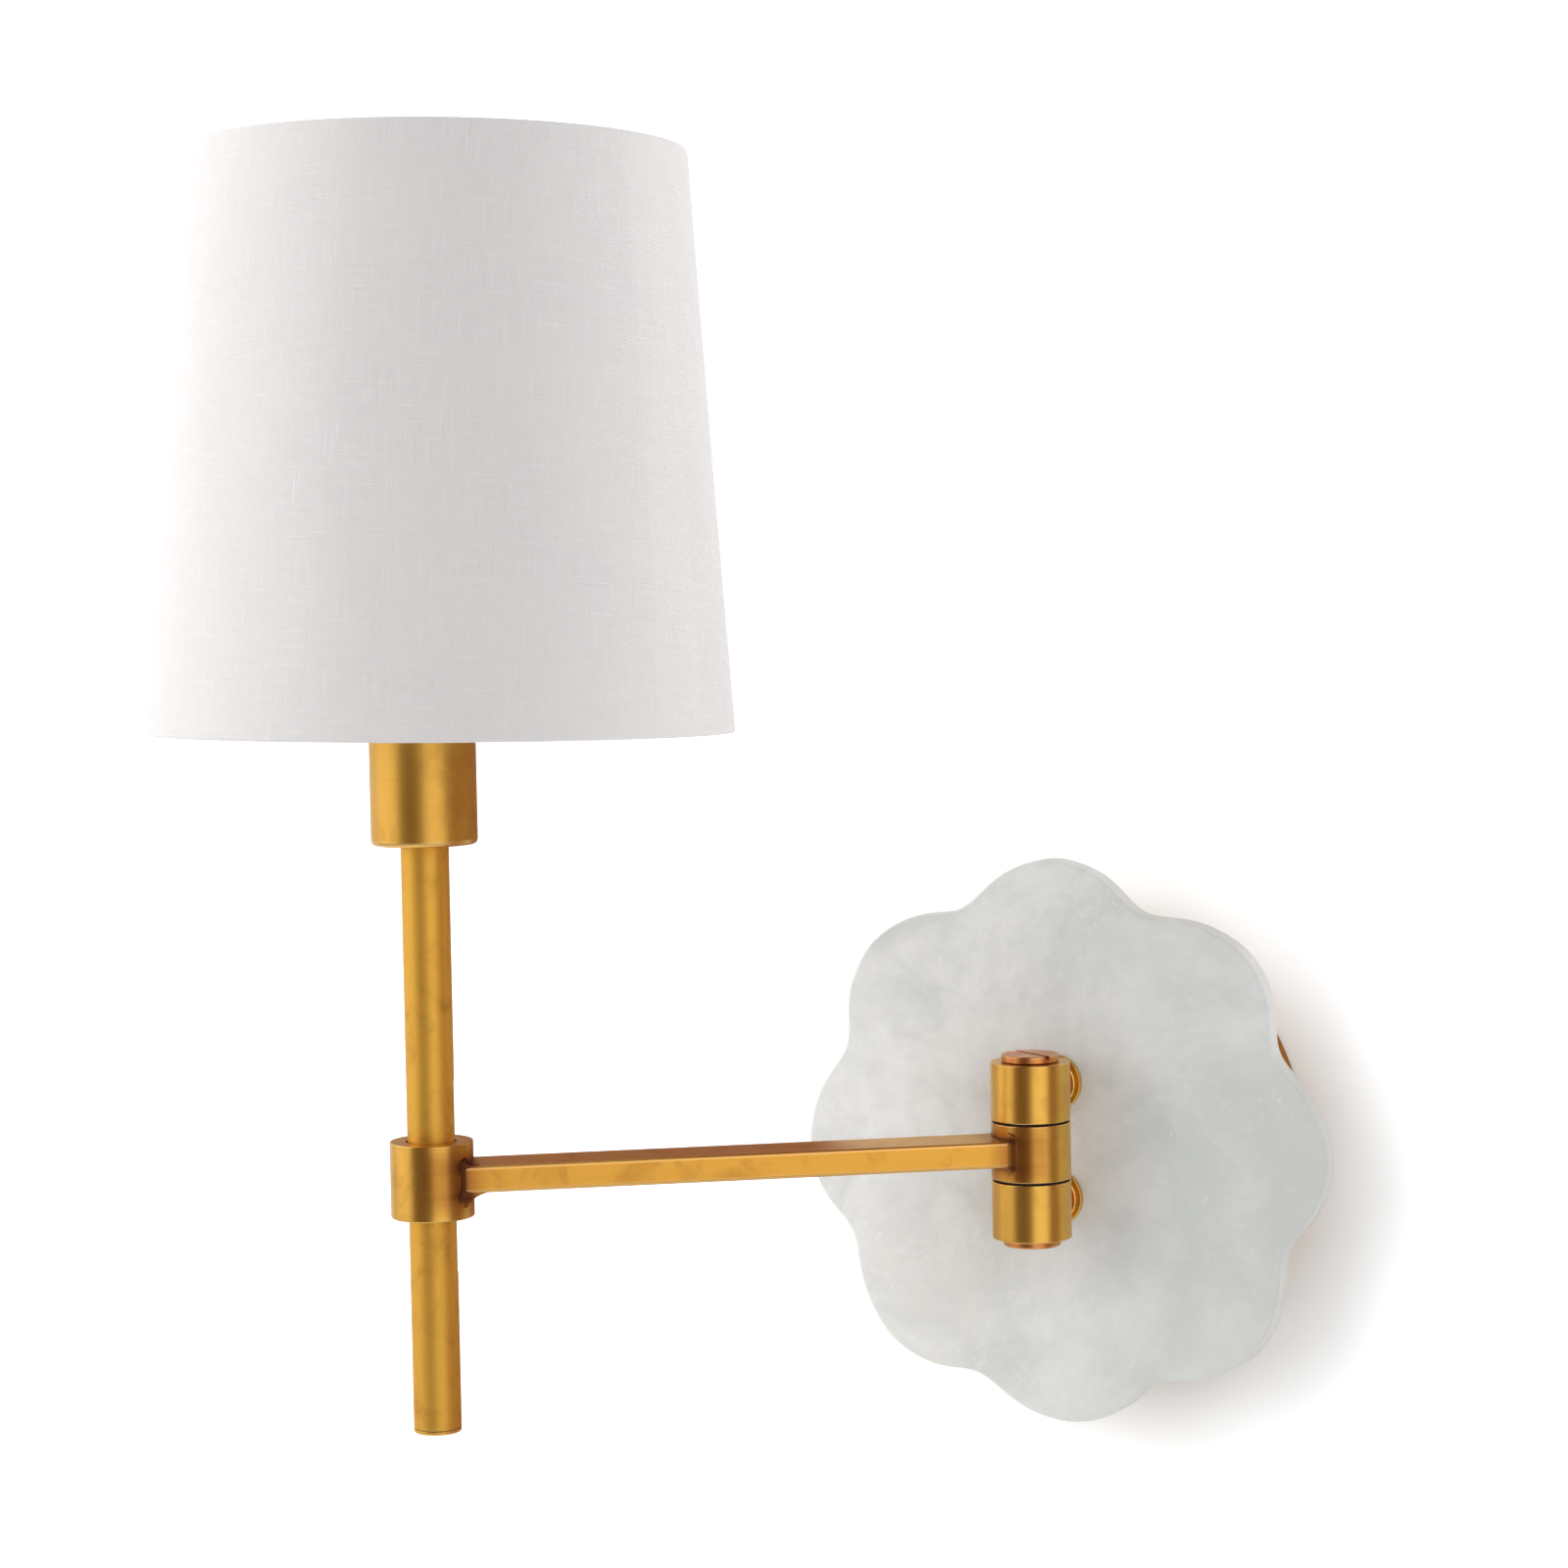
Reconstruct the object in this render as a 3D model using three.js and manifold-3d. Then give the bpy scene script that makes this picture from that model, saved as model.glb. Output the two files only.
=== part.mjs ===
// Swing arm wall sconce: a scalloped stone wall plate carries a three-knuckle hinge barrel, a flat arm
// swings on it, and a stem with a cloth shade turns and slides in the collar at the arm's free end.
// Units are millimetres, +Z is up and the wall is the plane y = 0, with the sconce on its -Y side.
// The origin is on the steel crossbar's back face, where the sconce meets the wall, level with the middle
// of the hinge barrel.
import * as THREE from 'three';
import { mergeVertices } from 'three/addons/utils/BufferGeometryUtils.js';
import Module from 'manifold-3d';

const wasm = await Module();
wasm.setup();

// Driving dimensions
const gap = 0.2; // clearance between two pieces that touch
const runningGap = 0.1; // radial clearance of a turning or sliding fit
const coarse = 24; // sides of a small round piece
const fine = 32; // sides of a large round piece

const axisToWall = 44.5; // hinge axis in front of the wall
const armAngle = 38; // arm's angle off the wall plane at rest, degrees
const armLength = 190.6; // hinge axis to stem axis

const plateDrop = 1.9; // centre of the canopy and the slab below the hinge barrel's middle
const canopyRadius = 76.2;
const canopyDepth = 15.8;
const sheetWall = 1; // sheet metal of the canopy and the cup
const padThickness = 0.6;
const slabThickness = 6.8;
const slabRadius = 87.8; // mean radius of the scalloped outline
const slabTurn = 1.6; // turn of the lobes off the vertical, degrees
const slabChamfer = 1.2;
const lobes = 8;
const lobeWaves = [[8, 4.4], [16, -0.7], [24, 0.2]]; // waves round the outline, and their heights
const handCut = [[2, 0.32, -2.42], [3, 0.61, 2.47], [7, 0.58, -3], [9, 0.33, 2.07]]; // waves, height, phase

const barrelRadius = 12.7;
const barrelHalf = 28.2; // half of the barrel's height
const seam = 9.4; // height of the seam between two knuckles
const washerThickness = 0.5;
const pinRadius = 6;
const pinBore = 3.5;
const capRadius = 9.2;
const capHeight = 2.3;
const postRadius = 6.7;
const postThread = 4.8;
const wireBore = 3;
const postHeight = 18.8; // centre height of the upper post, mirrored for the lower one
const rosetteRadius = 9;

const barWidth = 19;
const barHeight = 8.4;
const barBore = 2.3;
const collarRadius = 12.9;
const collarTop = 11.3;
const collarBottom = -12.2;
const collarBore = 7.95;
const bushHeight = 7;

const stemRadius = 7.4;
const stemBore = 5.9;
const stemBottom = -79.6;
const cupRadius = 16.4;
const cupBottom = 103.2;
const cupTop = 148;
const slotHalf = 30; // half length of the wire slot in the stem
const slotWidth = 4;

const socketRadius = 15;
const socketBottom = 109;
const socketTop = 158;
const screwShellRadius = 13.8;
const bulbCapRadius = 12.9;
const bulbRadius = 30;
const bulbCentre = 196; // height of the middle of the bulb's globe

const shadeBottom = 137.5;
const shadeHeight = 177.4;
const shadeBottomRadius = 90.2;
const shadeTopRadius = 75.9;
const shadeWall = 1.2;
const hemWall = 2.2; // thickness of the rolled hem at each rim
const hemHeight = 3;
const ringWire = 1.2; // radius of the shade's wire rings
const shadeOffset = 6.2; // shade's axis beside the stem's axis, towards the barrel
const shadeLeanBack = 0.7; // lean of the shade, degrees
const shadeLeanIn = 1.0; // lean of the shade towards the barrel, degrees
const clampTop = 156;

const slabBack = axisToWall - canopyDepth - padThickness - 2 * gap;
const slabFront = slabBack - slabThickness;

// Finishes
const finish = (color, roughness, metalness) => new THREE.MeshStandardMaterial({ color, roughness, metalness });
const brass = finish(0xc9a25a, 0.34, 1);
const copperyBrass = finish(0xb87a48, 0.4, 1);
const stone = finish(0xd9d8d2, 0.35, 0);
const linen = finish(0xe9e6df, 0.9, 0);
const steel = finish(0x9a9c9e, 0.4, 1);
const greenSteel = finish(0x2f7a46, 0.4, 0.6);
const nylon = finish(0x1d1c1b, 0.6, 0);
const felt = finish(0x2b2a29, 0.95, 0);
const porcelain = finish(0xf0ede4, 0.3, 0);
const opalGlass = finish(0xf6f3ea, 0.25, 0);

// Geometry helpers
const degrees = THREE.MathUtils.degToRad;
const points2 = (pairs) => pairs.map(([x, y]) => new THREE.Vector2(x, y));

// A profile of [radius, height] pairs turned about +Z.
function turned(profile, sides = coarse) {
  return new THREE.LatheGeometry(points2(profile), sides).rotateX(Math.PI / 2);
}

// A plain ring or tube about +Z.
function ring(outer, inner, low, high, sides = coarse) {
  return turned([[inner, low], [outer, low], [outer, high], [inner, high], [inner, low]], sides);
}

// A solid cylinder about +Z.
function rod(radius, low, high, sides = coarse) {
  return turned([[0, low], [radius, low], [radius, high], [0, high]], sides);
}

// The same about +Y, for pieces that point at the wall; heights are then distances along +Y.
const alongY = (geometry) => geometry.rotateX(-Math.PI / 2);
const alongX = (geometry) => geometry.rotateY(Math.PI / 2);

function box(low, high) {
  const size = high.map((value, i) => value - low[i]);
  return new THREE.BoxGeometry(...size).translate(...low.map((value, i) => value + size[i] / 2));
}

// A hexagonal nut about +Z.
function hexNut(acrossFlats, bore, low, high) {
  const outline = new THREE.Shape();
  const corner = acrossFlats / 2 / Math.cos(Math.PI / 6);
  for (let i = 0; i < 6; i++) {
    const angle = (i * Math.PI) / 3;
    outline[i ? 'lineTo' : 'moveTo'](corner * Math.cos(angle), corner * Math.sin(angle));
  }
  outline.closePath();
  outline.holes.push(new THREE.Path().absarc(0, 0, bore, 0, 2 * Math.PI, true));
  const options = { depth: high - low, bevelEnabled: false, curveSegments: coarse / 2 };
  return new THREE.ExtrudeGeometry(outline, options).translate(0, 0, low);
}

// A round wire along a curve through the points.
function wire(points, radius, steps) {
  const path = new THREE.CatmullRomCurve3(points.map((p) => new THREE.Vector3(...p)));
  const section = new THREE.Shape().absarc(0, 0, radius, 0, 2 * Math.PI);
  return new THREE.ExtrudeGeometry(section, { extrudePath: path, steps, curveSegments: 3 });
}

function toSolid(geometry) {
  const bare = geometry.clone();
  bare.deleteAttribute('normal');
  bare.deleteAttribute('uv');
  const merged = mergeVertices(bare, 1e-4);
  const vertProperties = new Float32Array(merged.attributes.position.array);
  const triVerts = new Uint32Array(merged.index.array);
  return new wasm.Manifold(new wasm.Mesh({ numProp: 3, vertProperties, triVerts }));
}

function toGeometry(solid) {
  const mesh = solid.getMesh();
  const geometry = new THREE.BufferGeometry();
  geometry.setAttribute('position', new THREE.BufferAttribute(mesh.vertProperties, 3));
  geometry.setIndex(new THREE.BufferAttribute(mesh.triVerts, 1));
  return geometry;
}

function cut(geometry, ...tools) {
  return toGeometry(tools.reduce((solid, tool) => solid.subtract(toSolid(tool)), toSolid(geometry)));
}

function join(...geometries) {
  const [first, ...rest] = geometries.map(toSolid);
  return toGeometry(rest.reduce((solid, next) => solid.add(next), first));
}

function place(group, name, geometry, material) {
  const mesh = new THREE.Mesh(geometry, material);
  mesh.name = name;
  group.add(mesh);
  return mesh;
}

// Wall plate; the group's origin is the centre of the crossbar's back face.

// Radius of the scalloped outline: eight round lobes, and the slight unevenness of a hand-cut edge.
function lobeRadius(angle) {
  const lobed = lobeWaves.reduce((sum, [count, height]) => sum + height * Math.cos(count * angle), slabRadius);
  return handCut.reduce((sum, [count, height, phase]) => sum + height * Math.sin(count * angle + phase), lobed);
}

// The slab is a stack of outlines at rising depth, each drawn in by its chamfer.
function slabGeometry() {
  const sides = lobes * 12;
  const c = slabChamfer;
  const rows = [[c, 0], [0.3 * c, 0.4 * c], [0, c], [0, slabThickness - c], [c, slabThickness]];
  const positions = [0, 0, 0, 0, slabThickness, 0];
  for (const [inset, depth] of rows) {
    for (let i = 0; i < sides; i++) {
      const angle = (i * 2 * Math.PI) / sides;
      const radius = lobeRadius(angle) - inset;
      const turn = angle + degrees(slabTurn);
      positions.push(radius * Math.cos(turn), depth, radius * Math.sin(turn));
    }
  }
  const index = [];
  const vertex = (row, i) => 2 + row * sides + (i % sides);
  for (let i = 0; i < sides; i++) {
    index.push(0, vertex(0, i), vertex(0, i + 1));
    index.push(1, vertex(rows.length - 1, i + 1), vertex(rows.length - 1, i));
    for (let row = 0; row + 1 < rows.length; row++) {
      index.push(vertex(row, i), vertex(row + 1, i), vertex(row + 1, i + 1));
      index.push(vertex(row, i), vertex(row + 1, i + 1), vertex(row, i + 1));
    }
  }
  const geometry = new THREE.BufferGeometry();
  geometry.setAttribute('position', new THREE.Float32BufferAttribute(positions, 3));
  geometry.setIndex(index);
  return geometry;
}

// Two holes for the posts, cut along Y at the posts' heights above the plate's own centre.
function postHoles(radius, low, high) {
  return [1, -1].map((side) => alongY(rod(radius, low, high)).translate(0, 0, side * postHeight + plateDrop));
}

function canopyGeometry() {
  const front = -canopyDepth;
  const edge = 2;
  const outer = canopyRadius;
  const profile = [
    [0, front], [outer - edge, front], [outer - 0.3 * edge, front + 0.3 * edge], [outer, front + edge],
    [outer, 0], [outer - sheetWall, 0], [outer - sheetWall, front + edge],
    [outer - edge, front + sheetWall], [0, front + sheetWall],
  ];
  const sideHole = alongX(rod(2, -canopyRadius - 4, canopyRadius + 4)).translate(0, -canopyDepth / 2, 0);
  const pan = alongY(turned(profile, 2 * coarse));
  return cut(pan, sideHole, ...postHoles(postThread + 0.4, front - 1, front + 3));
}

// A flat strap with a forward tab at each end for the canopy's side screws, and two slots for the
// screws into the wall box.
function crossbarGeometry() {
  const reach = canopyRadius - sheetWall - 5;
  const halfHeight = 10;
  const strap = 2.5;
  const tab = canopyDepth - 3;
  const slotX = 41;
  const low = (x) => box([x - 6, -strap - 1, -2.2], [x + 6, 1, 2.2]);
  return cut(
    join(
      box([-reach, -strap, -halfHeight], [reach, 0, halfHeight]),
      box([-reach, -tab, -halfHeight], [-reach + strap, 0, halfHeight]),
      box([reach - strap, -tab, -halfHeight], [reach, 0, halfHeight]),
    ),
    low(slotX), low(-slotX),
    alongX(rod(1.6, -reach - 1, reach + 1)).translate(0, -canopyDepth / 2, 0),
    alongY(rod(1.9, -strap - 1, 1)).translate(20, 0, 0),
  );
}

// A screw about +Z: head from 0 up, shank from 0 down, with a driving slot across the head.
function slottedScrew(headRadius, headHeight, shankRadius, shankLength) {
  const blade = box([-headRadius - 1, -0.5, 0.5 * headHeight], [headRadius + 1, 0.5, headHeight + 1]);
  const profile = [
    [0, -shankLength], [shankRadius, -shankLength], [shankRadius, 0], [headRadius, 0],
    [headRadius, 0.6 * headHeight], [0.7 * headRadius, headHeight], [0, headHeight],
  ];
  return cut(turned(profile, 24), blade);
}

function makeWallPlate(group) {
  place(group, 'wall_crossbar', crossbarGeometry(), steel);
  const groundScrew = place(group, 'ground_screw', slottedScrew(4, 2.2, 1.7, 2.3), greenSteel);
  groundScrew.rotation.x = Math.PI / 2;
  groundScrew.position.set(20, -2.5 - gap, 0);
  place(group, 'canopy_pan', canopyGeometry(), brass);
  for (const [name, side] of [['canopy_screw_right', 1], ['canopy_screw_left', -1]]) {
    const screw = place(group, name, slottedScrew(3.2, 1.8, 1.4, 9), brass);
    screw.rotation.y = (side * Math.PI) / 2;
    screw.position.set(side * (canopyRadius + gap), -canopyDepth / 2, 0);
  }
  const padFront = -canopyDepth - gap - padThickness;
  const pad = alongY(rod(60, padFront, padFront + padThickness, fine));
  place(group, 'felt_pad', cut(pad, ...postHoles(postThread + 0.6, padFront - 1, padFront + 2)), felt);
  const slabFace = slabFront - axisToWall;
  const slab = slabGeometry().translate(0, slabFace, 0);
  const bored = cut(slab, ...postHoles(postThread + 0.7, slabFace - 1, slabFace + slabThickness + 1));
  place(group, 'stone_slab', bored, stone);
}

// Hinge barrel and its posts; the group's origin is the middle of the hinge axis.

function makePost(group, name, side) {
  const shoulder = slabFront - 3.3;
  const end = axisToWall - 3;
  const profile = [
    [wireBore, 8], [postRadius, 8], [postRadius, shoulder - 0.6], [postRadius - 0.6, shoulder],
    [postThread, shoulder], [postThread, end - 0.6], [postThread - 0.6, end], [wireBore, end], [wireBore, 8],
  ];
  const post = alongY(turned(profile)).translate(0, 0, side * postHeight);
  const saddle = rod(barrelRadius + gap, -barrelHalf - 5, barrelHalf + 5, fine);
  place(group, `${name}_post`, cut(post, saddle), copperyBrass);

  const [bore, face] = [postThread + gap, slabFront - gap];
  const rosette = [
    [bore, face - 2.9], [postRadius + 0.5, face - 2.9], [postRadius + 0.9, face - 2.4],
    [postRadius + 0.3, face - 1.9], [rosetteRadius - 0.5, face - 1.7], [rosetteRadius, face - 1.2],
    [rosetteRadius, face], [bore, face], [bore, face - 2.9],
  ];
  const rosetteGeometry = alongY(turned(rosette)).translate(0, 0, side * postHeight);
  place(group, `${name}_rosette`, rosetteGeometry, brass);

  const inside = axisToWall - canopyDepth + sheetWall + gap;
  const washer = alongY(ring(8.2, postThread + gap, inside, inside + 0.8, 24));
  place(group, `${name}_post_washer`, washer.translate(0, 0, side * postHeight), steel);
  const nutLow = inside + 0.8 + gap;
  const nut = alongY(hexNut(14, postThread + gap, nutLow, nutLow + 3.5));
  place(group, `${name}_post_nut`, nut.translate(0, 0, side * postHeight), steel);
}

// A knuckle with softened rims; the bore runs on the pin.
function knuckleGeometry(low, high) {
  const bore = pinRadius + runningGap;
  const rim = 0.4;
  const profile = [
    [bore, low], [barrelRadius - rim, low], [barrelRadius, low + rim], [barrelRadius, high - rim],
    [barrelRadius - rim, high], [bore, high], [bore, low],
  ];
  return turned(profile, fine);
}

function makeHinge(group) {
  const seat = seam + washerThickness / 2 + runningGap;
  const wireHole = (side) => alongY(rod(wireBore, 0, 20)).translate(0, 0, side * postHeight);
  place(group, 'knuckle_top', cut(knuckleGeometry(seat, barrelHalf), wireHole(1)), brass);
  place(group, 'knuckle_bottom', cut(knuckleGeometry(-barrelHalf, -seat), wireHole(-1)), brass);
  for (const [name, height] of [['thrust_washer_upper', seam], ['thrust_washer_lower', -seam]]) {
    const half = washerThickness / 2;
    const inner = pinRadius + runningGap;
    const washer = ring(barrelRadius - 0.5, inner, height - half, height + half, fine);
    place(group, name, washer, nylon);
  }
  const pinHalf = barrelHalf - 0.4;
  const window = box([-pinRadius - 1, -pinRadius - 1, -4], [pinRadius + 1, 1, 4]);
  const pin = ring(pinRadius, pinBore, -pinHalf, pinHalf);
  place(group, 'hinge_pin', cut(pin, window, wireHole(1), wireHole(-1)), steel);
  makeCap(group, 'cap_top_slotted', 1, true);
  makeCap(group, 'cap_bottom', -1, false);
}

// A cap closes each end of the barrel, with a stub that screws into the pin.
function makeCap(group, name, side, slotted) {
  const seat = barrelHalf + gap;
  const [stub, rim] = [pinBore - gap, 0.5];
  const profile = [
    [0, seat - 9], [stub, seat - 9], [stub, seat], [capRadius, seat],
    [capRadius, seat + capHeight - rim], [capRadius - rim, seat + capHeight], [0, seat + capHeight],
  ];
  let geometry = turned(profile, fine);
  if (slotted) {
    const blade = box([-capRadius - 1, -0.8, seat + 1.1], [capRadius + 1, 0.8, seat + capHeight + 1]);
    geometry = cut(geometry, blade.rotateZ(degrees(-29)));
  }
  const cap = place(group, name, geometry, copperyBrass);
  if (side < 0) cap.rotation.x = Math.PI;
}

// Arm; the group's +X axis points from the barrel to the collar.

function makeArm(group) {
  const half = seam - washerThickness / 2 - runningGap;
  const wireWay = alongX(rod(barBore, 0, armLength));
  place(group, 'knuckle_middle', cut(knuckleGeometry(-half, half), wireWay), brass);
  const bar = box([0, -barWidth / 2, -barHeight / 2], [armLength, barWidth / 2, barHeight / 2]);
  const barrelSaddle = rod(barrelRadius + gap, -20, 20, fine);
  const collarSaddle = rod(collarRadius + gap, -20, 20, fine).translate(armLength, 0, 0);
  place(group, 'arm_bar', cut(bar, barrelSaddle, collarSaddle, wireWay), brass);
  const rim = 0.7;
  const collarProfile = [
    [collarBore, collarBottom], [collarRadius - rim, collarBottom], [collarRadius, collarBottom + rim],
    [collarRadius, collarTop - rim], [collarRadius - rim, collarTop], [collarBore, collarTop],
    [collarBore, collarBottom],
  ];
  const collar = turned(collarProfile, fine);
  const collarHole = wireWay.clone().translate(-2, 0, 0);
  place(group, 'collar', cut(collar.translate(armLength, 0, 0), collarHole), brass);
}

function makeBushes(group) {
  const [outer, inner] = [collarBore - runningGap, stemRadius + runningGap];
  const recess = 1.2;
  const high = collarTop - recess;
  const low = collarBottom + recess;
  place(group, 'bush_upper', ring(outer, inner, high - bushHeight, high), nylon);
  place(group, 'bush_lower', ring(outer, inner, low, low + bushHeight), nylon);
}

// Lamp head; the group's +Z axis is the stem's axis.

function makeStem(group) {
  const flange = 1.2;
  const tubeTop = cupBottom - gap;
  const tube = ring(stemRadius, stemBore, stemBottom + flange + gap, tubeTop);
  const wireSlot = box([-stemRadius - 1, -slotWidth / 2, -slotHalf], [0, slotWidth / 2, slotHalf]);
  place(group, 'stem_tube', cut(tube, wireSlot), brass);
  const spigot = stemBore - gap;
  const plug = [
    [0, stemBottom], [stemRadius - 0.5, stemBottom], [stemRadius, stemBottom + 0.5],
    [stemRadius, stemBottom + flange], [spigot, stemBottom + flange], [spigot, stemBottom + 8],
    [0, stemBottom + 8],
  ];
  place(group, 'stem_end_plug', turned(plug), brass);
  const nippleRadius = 4.8;
  place(group, 'stem_top_bushing', ring(spigot, nippleRadius + gap, tubeTop - 14, tubeTop), steel);
  place(group, 'threaded_nipple', ring(nippleRadius, wireBore, tubeTop - 16, socketBottom + 5, 24), steel);
  const nutLow = cupBottom + 1.2 + gap;
  place(group, 'cup_lock_nut', hexNut(14, nippleRadius + gap, nutLow, nutLow + 3.5), steel);
}

function makeCup(group) {
  const [outer, inner, edge] = [cupRadius, cupRadius - sheetWall, 1.8];
  const profile = [
    [5, cupBottom], [outer - edge, cupBottom], [outer - 0.3 * edge, cupBottom + 0.3 * edge],
    [outer, cupBottom + edge], [outer, cupTop], [inner, cupTop], [inner, cupBottom + edge + 0.2],
    [outer - edge, cupBottom + 1.2], [5, cupBottom + 1.2], [5, cupBottom],
  ];
  place(group, 'socket_cup', turned(profile, fine), brass);
}

function makeSocket(group) {
  const floor = socketBottom + 8;
  const bore = screwShellRadius + gap;
  const body = [
    [5, socketBottom], [socketRadius, socketBottom], [socketRadius, socketTop], [bore, socketTop],
    [bore, floor], [5, floor], [5, socketBottom],
  ];
  place(group, 'socket_body', turned(body), porcelain);
  const shellLow = floor + gap;
  const shell = ring(screwShellRadius, screwShellRadius - 0.5, shellLow, shellLow + 30);
  place(group, 'screw_shell', shell, copperyBrass);
  const contact = turned([[0, shellLow], [6, shellLow], [6, shellLow + 0.8], [0, shellLow + 1.2]], 24);
  place(group, 'centre_contact', contact, copperyBrass);
}

function makeBulb(group) {
  const tip = socketBottom + 8 + 2;
  const [radius, wall] = [bulbCapRadius, 0.8];
  const cap = [
    [0, tip], [4.8, tip], [5, tip + 1.5], [radius - 1, tip + 5], [radius, tip + 6], [radius, tip + 26],
    [radius - wall, tip + 26], [radius - wall, tip + 6.5], [5, tip + 3], [0, tip + 3],
  ];
  place(group, 'bulb_cap', turned(cap), copperyBrass);
  const neck = radius - wall - gap;
  const neckLow = tip + 16;
  const flare = new THREE.CubicBezierCurve(...points2([
    [neck, socketTop - 4], [neck, socketTop + 12], [bulbRadius, bulbCentre - 24], [bulbRadius, bulbCentre],
  ])).getPoints(6).map((p) => [p.x, p.y]);
  const dome = [];
  for (let i = 1; i <= 5; i++) {
    const angle = (i * Math.PI) / 10;
    dome.push([bulbRadius * Math.cos(angle), bulbCentre + bulbRadius * Math.sin(angle)]);
  }
  dome[4][0] = 0;
  const outside = [[neck, neckLow], ...flare, ...dome];
  const inside = [...outside].reverse().map(([r, z], i) => {
    const inset = z > bulbCentre ? 1 : 0;
    const scale = (bulbRadius - 1) / bulbRadius;
    if (i === 0) return [0, bulbCentre + bulbRadius - 1];
    return inset ? [r * scale, bulbCentre + (z - bulbCentre) * scale] : [r - 1, z];
  });
  place(group, 'bulb_glass', turned([...outside, ...inside, [neck, neckLow]]), opalGlass);
}

// Shade; the group's origin is the centre of its bottom rim, and its +Z axis is the shade's own axis.

// Outer radius of the cloth at a height above the bottom rim.
const shadeRadius = (z) => shadeBottomRadius + ((shadeTopRadius - shadeBottomRadius) * z) / shadeHeight;

function shadeGeometry() {
  const top = shadeHeight;
  const hem = hemHeight;
  const roll = 0.6;
  const profile = [
    [shadeRadius(0) - roll, 0], [shadeRadius(0), roll], [shadeRadius(hem), hem],
    [shadeRadius(top - hem), top - hem], [shadeRadius(top), top - roll], [shadeRadius(top) - roll, top],
    [shadeRadius(top) - hemWall, top], [shadeRadius(top) - hemWall, top - hem],
    [shadeRadius(top - hem - 1) - shadeWall, top - hem - 1], [shadeRadius(hem + 1) - shadeWall, hem + 1],
    [shadeRadius(hem) - hemWall, hem], [shadeRadius(0) - hemWall, 0], [shadeRadius(0) - roll, 0],
  ];
  return turned(profile, 2 * coarse);
}

// A wire ring that lies inside a rim.
function wireRing(rimRadius, z) {
  const radius = rimRadius - hemWall - 0.3 - ringWire;
  const profile = Array.from({ length: 7 }, (_, i) => {
    const angle = (i * Math.PI) / 3;
    return [radius + ringWire * Math.cos(angle), z + ringWire * Math.sin(angle)];
  });
  return turned(profile, fine);
}

// The fitter: a hub that drops over the socket, and three spokes out to the shade's bottom ring.
function makeFitter(head, shade) {
  const hubLow = cupTop + gap;
  const hubHeight = 2;
  const hub = ring(socketRadius + 3.5, socketRadius + 0.4, hubLow, hubLow + hubHeight);
  place(head, 'fitter_hub', hub, steel);

  const ringZ = 2.2;
  place(shade, 'shade_bottom_ring', wireRing(shadeRadius(ringZ), ringZ), steel);
  const reach = shadeRadius(ringZ) - hemWall - 0.3 - 2 * ringWire - 3 * gap;
  const hubMiddle = hubLow + hubHeight / 2;
  shade.updateMatrix();
  [90, 210, 330].forEach((turn, i) => {
    const [x, y] = [Math.cos(degrees(turn)), Math.sin(degrees(turn))];
    const onRing = (r, z) => new THREE.Vector3(r * x, r * y, z).applyMatrix4(shade.matrix).toArray();
    const start = socketRadius + 3.5 + gap;
    const path = [
      [start * x, start * y, hubMiddle], [2 * start * x, 2 * start * y, hubMiddle - 1],
      onRing(0.8 * reach, ringZ + 2.5), onRing(reach, ringZ),
    ];
    place(head, `fitter_spoke_${i + 1}`, wire(path, ringWire - 0.1, 8), steel);
  });
}

function makeShade(group) {
  const shade = new THREE.Group();
  shade.position.set(-shadeOffset, 0, shadeBottom);
  shade.rotation.set(degrees(shadeLeanBack), degrees(-shadeLeanIn), 0);
  group.add(shade);
  place(shade, 'shade_cloth', shadeGeometry(), linen);
  const topZ = shadeHeight - 2.2;
  place(shade, 'shade_top_ring', wireRing(shadeRadius(topZ), topZ), steel);
  makeFitter(group, shade);
}

function makeHead(group) {
  makeStem(group);
  makeCup(group);
  makeSocket(group);
  makeBulb(group);
  const clampLow = cupTop + gap + 2 + gap;
  place(group, 'fitter_clamp_ring', ring(socketRadius + 3, socketRadius + gap, clampLow, clampTop), porcelain);
  makeShade(group);
}

const sconce = new THREE.Group();

const plate = new THREE.Group();
plate.position.z = -plateDrop;
sconce.add(plate);
makeWallPlate(plate);

const hinge = new THREE.Group();
hinge.position.y = -axisToWall;
sconce.add(hinge);
makePost(hinge, 'upper', 1);
makePost(hinge, 'lower', -1);
makeHinge(hinge);

const arm = new THREE.Group();
arm.rotation.z = degrees(180 + armAngle);
hinge.add(arm);
makeArm(arm);

const head = new THREE.Group();
head.position.x = armLength;
arm.add(head);
makeBushes(head);
makeHead(head);

export default sconce;
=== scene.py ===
"""Swing arm wall sconce: a scalloped stone plate, a brass knuckle hinge with a flat arm, and a linen shade.

Metres, +Z up. The wall is the plane y = 0 and the sconce stands on its -Y side.
"""

import math

import bpy
import numpy as np

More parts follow.
